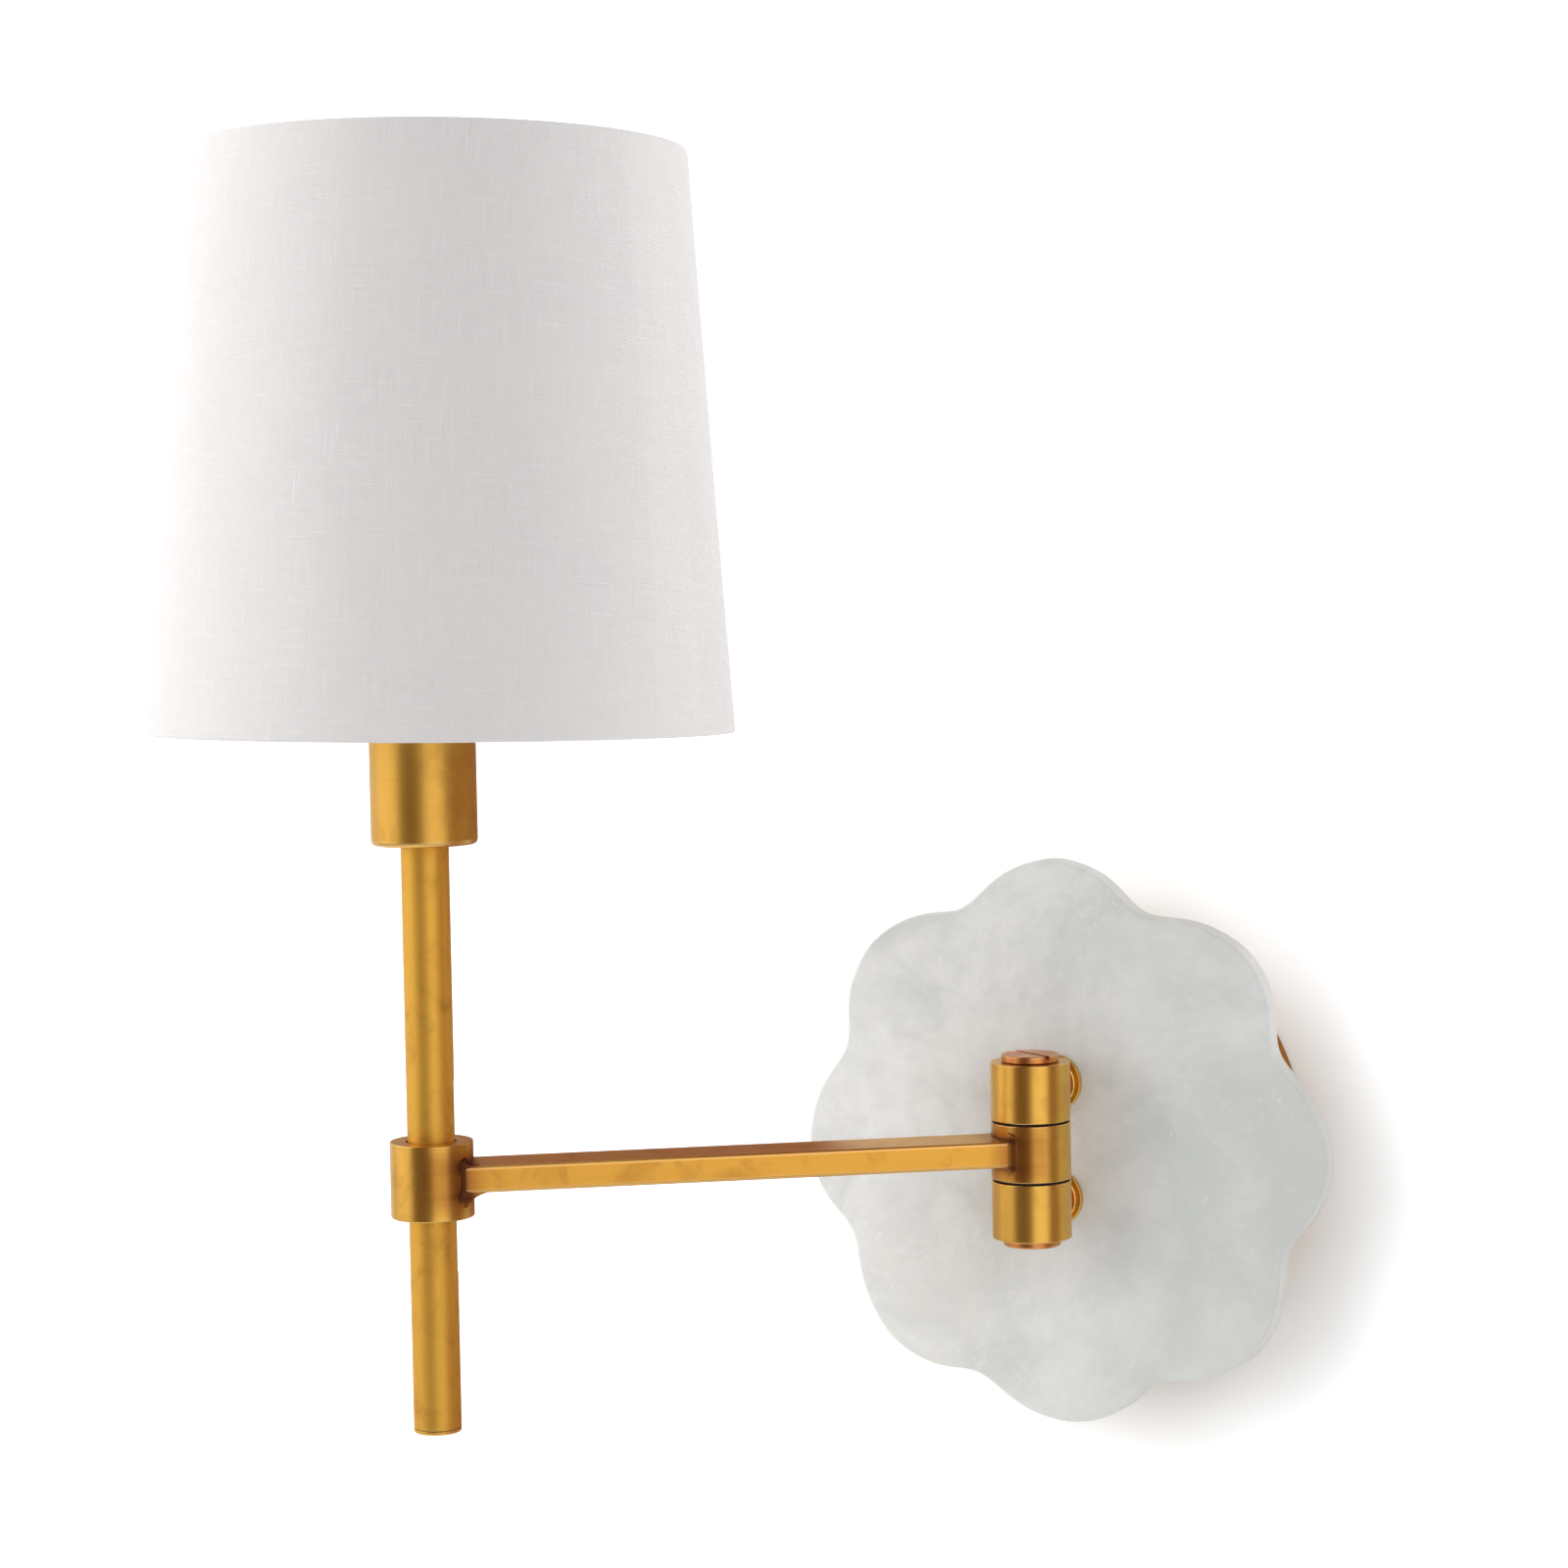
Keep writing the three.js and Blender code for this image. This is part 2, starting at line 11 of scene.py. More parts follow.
from mathutils import Matrix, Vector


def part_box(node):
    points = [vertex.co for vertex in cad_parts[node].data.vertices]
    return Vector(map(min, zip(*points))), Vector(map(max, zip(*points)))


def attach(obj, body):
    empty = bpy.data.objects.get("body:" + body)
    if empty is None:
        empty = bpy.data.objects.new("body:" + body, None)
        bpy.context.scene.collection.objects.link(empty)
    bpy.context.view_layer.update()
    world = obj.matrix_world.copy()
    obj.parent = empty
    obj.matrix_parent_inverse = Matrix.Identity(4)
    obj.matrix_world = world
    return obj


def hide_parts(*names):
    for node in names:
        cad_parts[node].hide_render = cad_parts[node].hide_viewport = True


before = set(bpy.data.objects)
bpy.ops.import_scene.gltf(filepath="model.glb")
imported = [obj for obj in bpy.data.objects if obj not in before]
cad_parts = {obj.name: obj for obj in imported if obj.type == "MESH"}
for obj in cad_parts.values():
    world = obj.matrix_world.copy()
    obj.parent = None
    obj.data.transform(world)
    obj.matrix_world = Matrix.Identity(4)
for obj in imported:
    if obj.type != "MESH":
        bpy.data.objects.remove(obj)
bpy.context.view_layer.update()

bl_info = {
    "name": "Swing Arm Wall Sconce",
    "version": (1, 0, 0),
    "blender": (4, 5, 0),
    "location": "3D View > Sidebar > Sconce",
    "description": "Builds a brass and stone wall sconce with a linen shade around its packed frame",
    "category": "Add Mesh",
}

MM = 0.001
TAU = 2 * math.pi


# --- places, read from the frame


def extent(node):
    """Lowest and highest corner of a CAD node, as arrays."""
    low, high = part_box(node)
    return np.array(low), np.array(high)


def heights(node):
    """Lowest and highest z of a CAD node."""
    low, high = extent(node)
    return low[2], high[2]


def middle(node):
    low, high = extent(node)
    return (low + high) / 2


def shift(x=0.0, y=0.0, z=0.0):
    matrix = np.eye(4)
    matrix[:3, 3] = x, y, z
    return matrix


def spin(axis, angle):
    """Turn about one of the axes "X", "Y" or "Z", in radians."""
    c, s = math.cos(angle), math.sin(angle)
    i, j = {"X": (1, 2), "Y": (2, 0), "Z": (0, 1)}[axis]
    matrix = np.eye(4)
    matrix[i, i] = matrix[j, j] = c
    matrix[i, j], matrix[j, i] = -s, s
    return matrix


HINGE = middle("hinge_pin")
STEM = middle("stem_end_plug")
ARM_TURN = math.atan2(STEM[1] - HINGE[1], STEM[0] - HINGE[0])
ARM_LENGTH = float(np.hypot(*(STEM - HINGE)[:2]))
SLAB_LOW, SLAB_HIGH = extent("stone_slab")

AT_HINGE = shift(0, HINGE[1], 0)
AT_ARM = AT_HINGE @ spin("Z", ARM_TURN)
AT_STEM = AT_ARM @ shift(ARM_LENGTH)
AT_COLLAR = AT_STEM @ spin("Z", math.pi)  # +X points back along the arm
TO_WALL = spin("X", -math.pi / 2)  # turns +Z towards the wall

GAP = 0.2 * MM  # between pieces that nearly touch
BARREL_RADIUS = 12.7 * MM
COLLAR_RADIUS = 12.9 * MM
COLLAR_BORE = 7.95 * MM
PIN_CLEAR = 6.1 * MM
CAP_RADIUS = 9.2 * MM
CAP_SLOT_TURN = math.radians(-29)
POST_RADIUS = 6.7 * MM
POST_THREAD = 4.8 * MM
BAR_WIDTH = 19.0 * MM
BAR_HEIGHT = 8.4 * MM
STEM_RADIUS = 7.4 * MM
STEM_BORE = 5.9 * MM
WIRE_SLOT = (4.0 * MM, 30.0 * MM)  # width and half length
CUP_RADIUS = 16.4 * MM
SHEET_WALL = 1.0 * MM
CANOPY_RADIUS = 76.2 * MM
LAMP_PITCH = 3.6 * MM  # of the rolled thread on the bulb's cap and in its socket

# Profiles, as radius and height.
ROSETTE = MM * np.array([
    (5, -2.9), (7.2, -2.9), (7.65, -2.4), (7, -1.8), (8.7, -1.7), (9, -1.2), (9, 0), (5, 0),
])
SCREW = MM * np.array([(0, -9), (1.4, -9), (1.4, 0), (3.2, 0), (3.2, 1.2), (2.2, 1.8), (0, 1.8)])

LOBES = 8
SLAB_RADIUS = 87.8 * MM  # mean radius of the scalloped outline
PLATE_DROP = 1.9 * MM  # centre of the canopy and the slab below the hinge barrel's middle
LOBE_TURN = math.radians(1.6)
LOBE_WAVES = ((8, 4.4 * MM), (16, -0.7 * MM), (24, 0.2 * MM))  # waves round the outline, and their heights
HAND_CUT = ((2, 0.32 * MM, -2.42), (3, 0.61 * MM, 2.47), (7, 0.58 * MM, -3.0), (9, 0.33 * MM, 2.07))
SAW_MARKS = ((13, 0.4), (19, 2.1), (31, 4.0))  # waves round the outline, and their phases
FACE_RINGS = np.array([0, 0.35, 0.7, 0.9, 0.97])  # shares of the outline's radius

SHADE_BOTTOM = 137.5 * MM
SHADE_HEIGHT = 177.4 * MM
SHADE_RADII = (90.2 * MM, 75.9 * MM)  # at the bottom and the top rim
SHADE_SLANT = math.hypot(SHADE_HEIGHT, SHADE_RADII[0] - SHADE_RADII[1])
SHADE_SINE = (SHADE_RADII[0] - SHADE_RADII[1]) / SHADE_SLANT  # sine of the cone's half angle
RIM_WIRE = 1.2 * MM
AT_SHADE = (
    AT_STEM
    @ shift(-6.2 * MM, 0, SHADE_BOTTOM)
    @ spin("X", math.radians(0.7))
    @ spin("Y", math.radians(-1.0))
)


# --- sizes and colours to change


def length(name, description, default):
    """A length whose default is given in millimetres."""
    return bpy.props.FloatProperty(
        name=name, description=description, default=default * MM, min=0, precision=5, subtype="DISTANCE",
        unit="LENGTH",
    )


def amount(name, description, default):
    return bpy.props.FloatProperty(name=name, description=description, default=default, min=0, max=1)


def colour(name, description, default):
    return bpy.props.FloatVectorProperty(
        name=name, description=description, default=default, size=3, min=0, max=1, subtype="COLOR"
    )


class SconceSizes(bpy.types.PropertyGroup):
    rim_round: length("Rim rounding", "Radius of the turned brass's rims", 0.3)
    bar_round: length("Bar rounding", "Radius of the arm's long edges", 1.1)
    fillet: length("Brazed fillet", "Size of the brazed joints at the arm's ends", 2.8)
    # Reach of the darkening near the joints: their own tint and painted shade in their corners.
    scorch: length("Scorch", "How far the brazing heat has darkened the brass", 3.2)
    cup_round: length("Cup rounding", "Radius of the socket cup's lower rim", 1.7)
    slab_round: length("Slab rounding", "Radius of the stone's polished edges", 1.3)
    slab_ripple: length("Slab ripple", "How far the hand-cut outline strays", 0.12)
    line_spacing: length("Brush lines", "Distance between the finest polishing lines", 0.22)
    thread: length("Linen thread", "Distance between two threads of the linen", 0.62)
    cloth: length("Cloth thickness", "Thickness of the shade's linen", 0.55)
    turn_in: length("Turn-in", "Depth of the cloth turned in at each rim", 9.0)
    seam_overlap: length("Seam overlap", "Width of the shade's lapped seam", 9.0)
    patina: amount("Patina", "How much of the brass has browned", 0.45)
    slubs: amount("Slubs", "Strength of the linen's thick threads", 0.6)


class SconceColours(bpy.types.PropertyGroup):
    brass: colour("Brass", "Clean satin brass", (0.77, 0.45, 0.085))
    brown: colour("Browned brass", "Brass where it has browned", (0.42, 0.165, 0.032))
    # The dark colour near the joints, which also paints the shade in their corners.
    scorched_and_shaded: colour("Scorched brass", "Brass darkened by the brazing heat", (0.13, 0.045, 0.018))
    copper: colour("Coppery brass", "Posts and caps", (0.72, 0.30, 0.10))
    stone: colour("Stone", "Lighter ground of the stone", (0.94, 0.95, 0.935))
    cloud: colour("Stone clouds", "Darker clouds in the stone", (0.72, 0.735, 0.715))
    linen: colour("Linen", "Off-white threads of the shade", (0.83, 0.81, 0.805))
    liner: colour("Liner", "White stiff lining of the shade", (0.84, 0.83, 0.80))
    steel: colour("Zinc plate", "Zinc plated steel hardware", (0.55, 0.55, 0.56))
    backdrop: colour("Backdrop", "Wall and floor of the studio", (0.86, 0.86, 0.86))


def sizes():
    return bpy.context.scene.sconce_sizes


def colours():
    return bpy.context.scene.sconce_colours


# --- surfaces


def add_object(name, data):
    made = bpy.data.objects.new(name, data)
    bpy.context.scene.collection.objects.link(made)
    return made


def moved(points, place):
    return points @ place[:3, :3].T + place[:3, 3]


def joined(*parts):
    """Points from arrays of their coordinates, stretched to one shape."""
    return np.stack(np.broadcast_arrays(*parts), axis=-1)


def turns(steps):
    """Angles that share out a full turn."""
    return np.arange(steps) * TAU / steps


def run(line):
    """Distance along a line of points, from its first."""
    return np.concatenate([[0], np.cumsum(np.linalg.norm(np.diff(line, axis=0), axis=1))])


def surface(name, points, place, uv, edge=0.0, loop=False):
    """A mesh from a grid of points, rows by columns by 3, whose columns close into a ring.

    A row whose points all meet is a pole and closes as a fan. With loop, the last row joins the first.
    uv has a row more with loop and always a column more than the points, so that its seam stays open.
    The faces are turned outwards by the sign of the enclosed volume.
    """
    columns = points.shape[1]
    pole = np.ptp(points, axis=1).max(axis=1) < 1e-9
    kept = ~pole[:, None] | (np.arange(columns) == 0)
    first = np.cumsum([0, *kept.sum(axis=1)])[:-1]
    index = first[:, None] + np.where(pole[:, None], 0, np.arange(columns))
    vertices = moved(points[kept], place)

    if loop:
        index, pole = (np.concatenate([rows, rows[:1]]) for rows in (index, pole))
    ahead = np.roll(index, -1, axis=1)
    quads = np.stack([index[:-1], ahead[:-1], ahead[1:], index[1:]], axis=-1)
    corner_uv = np.stack([uv[:-1, :-1], uv[:-1, 1:], uv[1:, 1:], uv[1:, :-1]], axis=2)
    from_pole, to_pole = pole[:-1], pole[1:]
    kinds = ((~(from_pole | to_pole), [0, 1, 2, 3]), (from_pole, [0, 2, 3]), (to_pole, [0, 1, 2]))
    parts = []
    for where, corners in kinds:
        faces = quads[where][..., corners].reshape(-1, len(corners))
        parts.append((faces, corner_uv[where][:, :, corners].reshape(*faces.shape, 2)))
    whole, fan_out, fan_in = (faces for faces, _ in parts)
    triangles = np.concatenate([whole[:, :3], whole[:, [0, 2, 3]], fan_out, fan_in])
    a, b, c = vertices[triangles].transpose(1, 0, 2)
    if np.einsum("ij,ij->", a, np.cross(b, c)) < 0:
        parts = [(faces[:, ::-1], spots[:, ::-1]) for faces, spots in parts]

    mesh = bpy.data.meshes.new(name)
    mesh.from_pydata(vertices.tolist(), [], [face for faces, _ in parts for face in faces.tolist()])
    layer = mesh.uv_layers.new(name="Metres")
    layer.data.foreach_set("uv", np.concatenate([spots.ravel() for _, spots in parts]))
    mesh.polygons.foreach_set("use_smooth", np.ones(len(mesh.polygons), bool))
    values = np.broadcast_to(edge, kept.shape)[kept]
    mesh.attributes.new("edge", "FLOAT", "POINT").data.foreach_set("value", values.astype(np.float32))
    return add_object(name, mesh)


def softened(corners, radius, closed=False, steps=5):
    """A polygon whose corners are rounded: each becomes a parabola that touches both its sides.

    Returns points and a mark for each, 1 on an outer rounding, -1 in an inner one and 0 elsewhere.
    A point just beyond each end of a rounding keeps the shading of the flats flat. Open ends stay sharp,
    and so does a corner whose radius is 0.
    """
    beyond, least_angle, reach_share, support_share = 0.15 * MM, 0.05, 0.42, 0.49
    corners = np.array(corners, float)
    before, after = np.roll(corners, 1, axis=0), np.roll(corners, -1, axis=0)
    away = np.stack([before - corners, after - corners])
    side = np.linalg.norm(away, axis=2)
    away = away / np.maximum(side, 1e-12)[..., None]
    half = np.arccos(np.clip((away[0] * away[1]).sum(axis=1), -1, 1)) / 2
    side = side.min(axis=0)
    radius = np.broadcast_to(radius, len(corners))
    reach = np.minimum(radius / np.tan(np.maximum(half, least_angle)), reach_share * side)
    support = np.where(radius > 0, np.minimum(reach + beyond, support_share * side), 0)
    s = np.linspace(0, 1, steps)[:, None, None]
    start, end = corners + away * reach[:, None]
    outer_start, outer_end = corners + away * support[:, None]
    arcs = (1 - s) ** 2 * start + 2 * s * (1 - s) * corners + s**2 * end
    arcs = np.concatenate([[outer_start], arcs, [outer_end]])
    turn = -away[0, :, 0] * away[1, :, 1] + away[0, :, 1] * away[1, :, 0]
    area = (corners[:, 0] * after[:, 1] - corners[:, 1] * after[:, 0]).sum()
    mark = np.sign(turn * area) * np.array([0, *[1] * steps, 0])[:, None]
    points, marks = arcs.transpose(1, 0, 2), (mark * (radius > 0)).T
    if closed:
        points, marks = points.reshape(-1, 2), marks.ravel()
    else:
        points = np.concatenate([corners[:1], points[1:-1].reshape(-1, 2), corners[-1:]])
        marks = np.concatenate([[0], marks[1:-1].ravel(), [0]])
    step = np.linalg.norm(points - np.roll(points, 1, axis=0), axis=1)
    apart = (step > 0.2e-6) | ((np.arange(len(points)) == 0) & (not closed))
    return points[apart], marks[apart]


def turned(name, corners, place, radius=None, steps=96, closed=False, swell=None):
    """A profile of radius and height pairs carried round the axis: (r cos t, r sin t, h).

    swell(t) may add to the radius.
    """
    profile, edge = softened(corners, sizes().rim_round if radius is None else radius, closed)
    t = turns(steps)
    r = np.repeat(profile[:, :1], steps, axis=1)
    if swell is not None:
        r = r + swell(t)
    points = joined(r * np.cos(t), r * np.sin(t), profile[:, 1:])
    line = np.concatenate([profile, profile[:1]]) if closed else profile
    uv = joined(np.linspace(0, TAU * profile[:, 0].max(), steps + 1), run(line)[:, None])
    return surface(name, points, place, uv, edge[:, None], closed)


def carried(name, section, edge, start, end, place, stations=24):
    """A closed section of (y, z) points carried along +X from x = start(y, z) to x = end(y, z).

    Each end closes on its own surface, by rows that shrink to the section's middle. The stations are
    closer together near both ends, by a cosine.
    """
    shrink = np.array([0, 0.5, 0.94])
    t = 0.5 - 0.5 * np.cos(np.linspace(0, math.pi, stations))
    t = np.concatenate([[0, 0, 0], t, [1, 1, 1]])[:, None]
    share = np.concatenate([shrink, np.ones(stations), shrink[::-1]])[:, None]
    y, z = share * section[:, 0], share * section[:, 1]
    x = start(y, z) * (1 - t) + end(y, z) * t
    uv = joined(np.concatenate([x, x[:, :1]], axis=1), run(np.concatenate([section, section[:1]])))
    return surface(name, joined(x, y, z), place, uv, (share == 1) * edge)


def circle(radius, steps):
    return radius * joined(np.cos(turns(steps)), np.sin(turns(steps)))


def saddle(radius, centre=0.0, side=1):
    """The x of a cylinder about Z: centre plus or minus the root of radius squared less y squared."""
    return lambda y, z: centre + side * np.sqrt(np.maximum(radius**2 - y**2, 0))


def slotted(piece, box, place, width):
    """Takes a box, given by two corners, out of the piece, and bevels the sharp edges by that width, live."""
    corner = joined(*np.meshgrid(*np.transpose(box), indexing="ij")).reshape(-1, 3)
    sides = [(0, 1, 3, 2), (4, 6, 7, 5), (0, 4, 5, 1), (2, 3, 7, 6), (0, 2, 6, 4), (1, 5, 7, 3)]
    blade = bpy.data.meshes.new("blade")
    blade.from_pydata(moved(corner, place).tolist(), [], sides)
    modifier = piece.modifiers.new("Cut", "BOOLEAN")
    modifier.operation, modifier.solver, modifier.object = "DIFFERENCE", "EXACT", add_object("blade", blade)
    graph = bpy.context.evaluated_depsgraph_get()
    result = bpy.data.meshes.new_from_object(
        piece.evaluated_get(graph), preserve_all_data_layers=True, depsgraph=graph
    )
    piece.modifiers.clear()
    old, piece.data = piece.data, result
    bpy.data.meshes.remove(old)
    bpy.data.meshes.remove(blade)
    if not len(result.polygons):
        raise RuntimeError(f"{piece.name} was cut away")
    modifier = piece.modifiers.new("Edges", "BEVEL")
    modifier.width, modifier.segments, modifier.limit_method = width, 2, "ANGLE"
    modifier.angle_limit, modifier.harden_normals = math.radians(35), True


def scorched_and_shaded(piece, wall, place, share=1.0):
    """Writes the piece's "scorch", which falls off by an exponential with the distance from a brazed joint.

    The joint is the bar's outline on a round wall of that radius. The distance of a vertex is taken along
    the bar from the wall, and across it from the bar's own section. The darkening is the joint's own tint
    with painted shade in the corners where the bar meets the wall: the middle of the bar's height keeps
    less of it than the top and bottom do.
    """
    spots = np.empty(3 * len(piece.data.vertices))
    piece.data.vertices.foreach_get("co", spots)
    x, y, z = moved(spots.reshape(-1, 3), np.linalg.inv(place)).T
    aside = np.maximum(np.abs(y) - BAR_WIDTH / 2, 0)
    above = np.maximum(np.abs(z) - BAR_HEIGHT / 2, 0)
    away = np.sqrt((x - saddle(wall)(y, z)) ** 2 + aside**2 + above**2)
    # Painted shade: the top and bottom of the bar keep more of the darkening than its middle.
    mid_height_relief = 0.55 * (1 - np.minimum(np.abs(z) / (BAR_HEIGHT / 2), 1) ** 2) * np.exp(-away / (2 * MM))
    heat_and_shade = np.minimum(share * (1 - mid_height_relief) * np.exp(-away / sizes().scorch), 1)
    attributes = piece.data.attributes
    attribute = attributes.get("scorch") or attributes.new("scorch", "FLOAT", "POINT")
    before = np.zeros(len(heat_and_shade), np.float32)
    attribute.data.foreach_get("value", before)
    attribute.data.foreach_set("value", np.maximum(before, heat_and_shade).astype(np.float32))


def finished(piece, body, slot, look, *nodes):
    """Gives the piece its material and body, and hides the nodes it stands for. The slot is not used."""
    piece.data.materials.clear()
    piece.data.materials.append(material(look))
    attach(piece, body)
    if nodes:
        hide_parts(*nodes)


# --- shader nodes


def add(tree, kind, values=(), **settings):
    """Adds a node with its settings and its inputs' values, by place or by name; a Value is linked."""
    node = tree.nodes.new(kind if kind.startswith("NodeGroup") else "ShaderNode" + kind)
    for name, value in settings.items():
        setattr(node, name, value)
    for key, value in values.items() if isinstance(values, dict) else enumerate(values):
        if isinstance(value, Value):
            tree.links.new(value.socket, node.inputs[key])
        else:
            node.inputs[key].default_value = value
    return node


class Value:
    """A node's output. Each sign and each method puts one more node into the same tree."""

    def __init__(self, socket):
        self.socket = socket

    def node(self, kind, values=(), output=0, **settings):
        return Value(add(self.socket.id_data, kind, values, **settings).outputs[output])

    def math(self, operation, *values):
        return self.node("Math", values, operation=operation)

    def __add__(self, other):
        return self.math("ADD", self, other)

    def __sub__(self, other):
        return self.math("SUBTRACT", self, other)

    def __mul__(self, other):
        return self.math("MULTIPLY", self, other)

    def __truediv__(self, other):
        return self.math("DIVIDE", self, other)

    def __rsub__(self, other):
        return self.math("SUBTRACT", other, self)

    def __rtruediv__(self, other):
        return self.math("DIVIDE", other, self)

    def most(self, other):
        return self.math("MAXIMUM", self, other)

    def sine(self):
        return self.math("SINE", self)

    def clamped(self):
        """Keeps the last sum between 0 and 1."""
        self.socket.node.use_clamp = True
        return self

    def mix(self, a, b):
        """Colour a where this is 0 and b where it is 1."""
        return self.node("Mix", {0: self, 6: a, 7: b}, 2, data_type="RGBA")

    def noise(self, scale, detail=3.0, roughness=0.55, distortion=0.0, output=0):
        values = {"Scale": scale, "Detail": detail, "Roughness": roughness, "Distortion": distortion}
        return self.node("TexNoise", {"Vector": self, **values}, output)

    def vector(self, operation, other, output=0):
        return self.node("VectorMath", [self, other], output, operation=operation)

    def parts(self):
        return [Value(part) for part in add(self.socket.id_data, "SeparateXYZ", [self]).outputs]

    def smooth(self, low, high, bottom=0.0, top=1.0):
        """Rises smoothly from bottom to top as the value goes from low to high."""
        return self.node("MapRange", [self, low, high, bottom, top], interpolation_type="SMOOTHSTEP")

    def attribute(self, name):
        return self.node("Attribute", (), "Fac", attribute_name=name)


def node_group(title, inputs, outputs):
    """Makes a function of Values a node group: built once, and placed beside the first value it is given.

    Each socket is named with its kind, as in "Size:Float".
    """
    sockets = {"INPUT": [text.split(":") for text in inputs.split()]}
    sockets["OUTPUT"] = [text.split(":") for text in outputs.split()]

    def wrap(work):
        def build():
            tree = bpy.data.node_groups.new(title, "ShaderNodeTree")
            for direction, named in sockets.items():
                for name, kind in named:
                    tree.interface.new_socket(name, in_out=direction, socket_type="NodeSocket" + kind)
            given = add(tree, "NodeGroupInput").outputs
            results = work(*[Value(given[name]) for name, _ in sockets["INPUT"]])
            add(tree, "NodeGroupOutput", results)
            return tree

        def placed(first, *others):
            tree = bpy.data.node_groups.get(title) or build()
            made = add(first.socket.id_data, "Group", [first, *others], node_tree=tree)
            return [Value(made.outputs[name]) for name, _ in sockets["OUTPUT"]]

        return placed

    return wrap


@node_group("Brush Lines", "Vector:Vector Spacing:Float", "Height:Float Tone:Float")
def brush_lines(vector, spacing):
    """Fine polishing lines that run along U, as two noises stretched along U and packed across it."""
    across = 1.0 / spacing
    u, v, _ = vector.parts()
    fine = vector.node("CombineXYZ", [u * 28.0, v * across])
    broad = vector.node("CombineXYZ", [u * 9.0, v * (across * 0.17)])
    return fine.noise(1.0, 2.0, 0.7), broad.noise(1.0, 4.0, 0.65)


@node_group(
    "Patina",
    "Vector:Vector Bright:Color Brown:Color Scorch:Color Blotch:Float Amount:Float Lines:Float"
    " Roughness:Float",
    "Colour:Color Roughness:Float",
)
def patina(vector, bright, brown, scorch, blotch, amount, lines, roughness):
    """Brass browned in soft blotches and inner corners, darker at its joints with painted shade, and bright
    on its worn rims.
    """
    rubbed = (0.98, 0.72, 0.36, 1)
    scale = 1.0 / blotch
    edge = vector.attribute("edge")
    worn = edge.most(0.0)
    crevice = (edge * -1.0).most(0.0) * 0.55
    blotches = vector.noise(scale, 5.0, 0.62, 0.6).smooth(0.46, 0.72) * amount
    streaks = lines.smooth(0.45, 0.8) * (amount * 0.3)
    specks = vector.noise(scale * 9.0, 3.0, 0.7).smooth(0.68, 0.78) * (amount * 0.3)
    mask = (blotches.most(streaks) + (specks + crevice)).clamped()
    mask = (mask - worn * 0.5).clamped()
    # The joints' own tint, and painted shade in the corners above and below the bar.
    heat_and_shade = vector.attribute("scorch")
    ragged = heat_and_shade + (lines - 0.5) * 0.25
    burnt_and_shaded = ragged.smooth(0.38, 0.85) * heat_and_shade.smooth(0.02, 0.2)
    spread = ragged.math("POWER", ragged.most(0.0), 0.45)
    tinted = spread.smooth(0.15, 0.8) * heat_and_shade.smooth(0.01, 0.12)
    browned = mask.most(tinted * 0.9).mix(bright, brown)
    tint = (worn * 0.25).mix(burnt_and_shaded.mix(browned, scorch), rubbed)
    rough = roughness + mask.most(burnt_and_shaded) * 0.12 + (lines - 0.5) * 0.03
    return tint, (rough - worn * 0.05).clamped()


@node_group(
    "Stone Clouds", "Vector:Vector Ground:Color Cloud:Color", "Colour:Color Roughness:Float Height:Float"
)
def stone_clouds(vector, ground, cloud):
    """Pale stone: drifting grey, green and warm clouds, faint veins, small white flecks, painted shade."""
    bent = vector.noise(14.0, 3.0, 0.5, output=1).vector("MULTIPLY", (0.03,) * 3).vector("ADD", vector)
    clouds = bent.noise(15.0, 8.0, 0.68, 0.4).smooth(0.38, 0.64)
    base = (clouds * 0.9).mix(ground, cloud)
    warm = bent.noise(11.0, 5.0, 0.6).smooth(0.52, 0.68) * 0.6
    base = warm.mix(base, (0.88, 0.83, 0.77, 1))
    cool = bent.noise(24.0, 6.0, 0.65, 0.3).smooth(0.52, 0.70) * 0.55
    base = cool.mix(base, (0.66, 0.735, 0.70, 1))
    mottle = vector.noise(120.0, 5.0, 0.7).smooth(0.42, 0.68) * 0.4
    base = mottle.mix(base, (0.80, 0.81, 0.80, 1))
    ridge = bent.math("ABSOLUTE", bent.noise(34.0, 6.0, 0.62, 0.9) - 0.5)
    vein = ridge.smooth(0.0, 0.016, 1.0, 0.0) * (clouds * 0.45)
    base = vein.mix(base, (0.94, 0.945, 0.93, 1))
    shaken = vector.noise(700.0, 2.0, 0.5, output=1).vector("MULTIPLY", (0.006,) * 3).vector("ADD", bent)
    cells = vector.node("TexVoronoi", {"Vector": shaken, "Scale": 240.0, "Randomness": 1.0})
    patch = vector.noise(42.0).smooth(0.48, 0.62)
    fleck = cells.smooth(0.06, 0.3, 1.0, 0.0) * (patch * 0.6)
    base = fleck.mix(base, (1.0, 1.0, 0.99, 1))
    # Painted shade: the colour darkens towards the right and the bottom of the plate, where less light falls.
    x, _, z = vector.parts()
    painted_shade = (x - z * 0.5).smooth(-0.07, 0.11, 0.0, 0.5)
    base = painted_shade.mix(base, (0.56, 0.575, 0.56, 1))
    grain = vector.noise(900.0, 3.0, 0.6)
    tint = (grain * 0.06).mix(base, (0.45, 0.45, 0.43, 1))
    return tint, bent.noise(60.0) * 0.2 + 0.27, vector.noise(90.0) * 0.8 + grain * 0.08


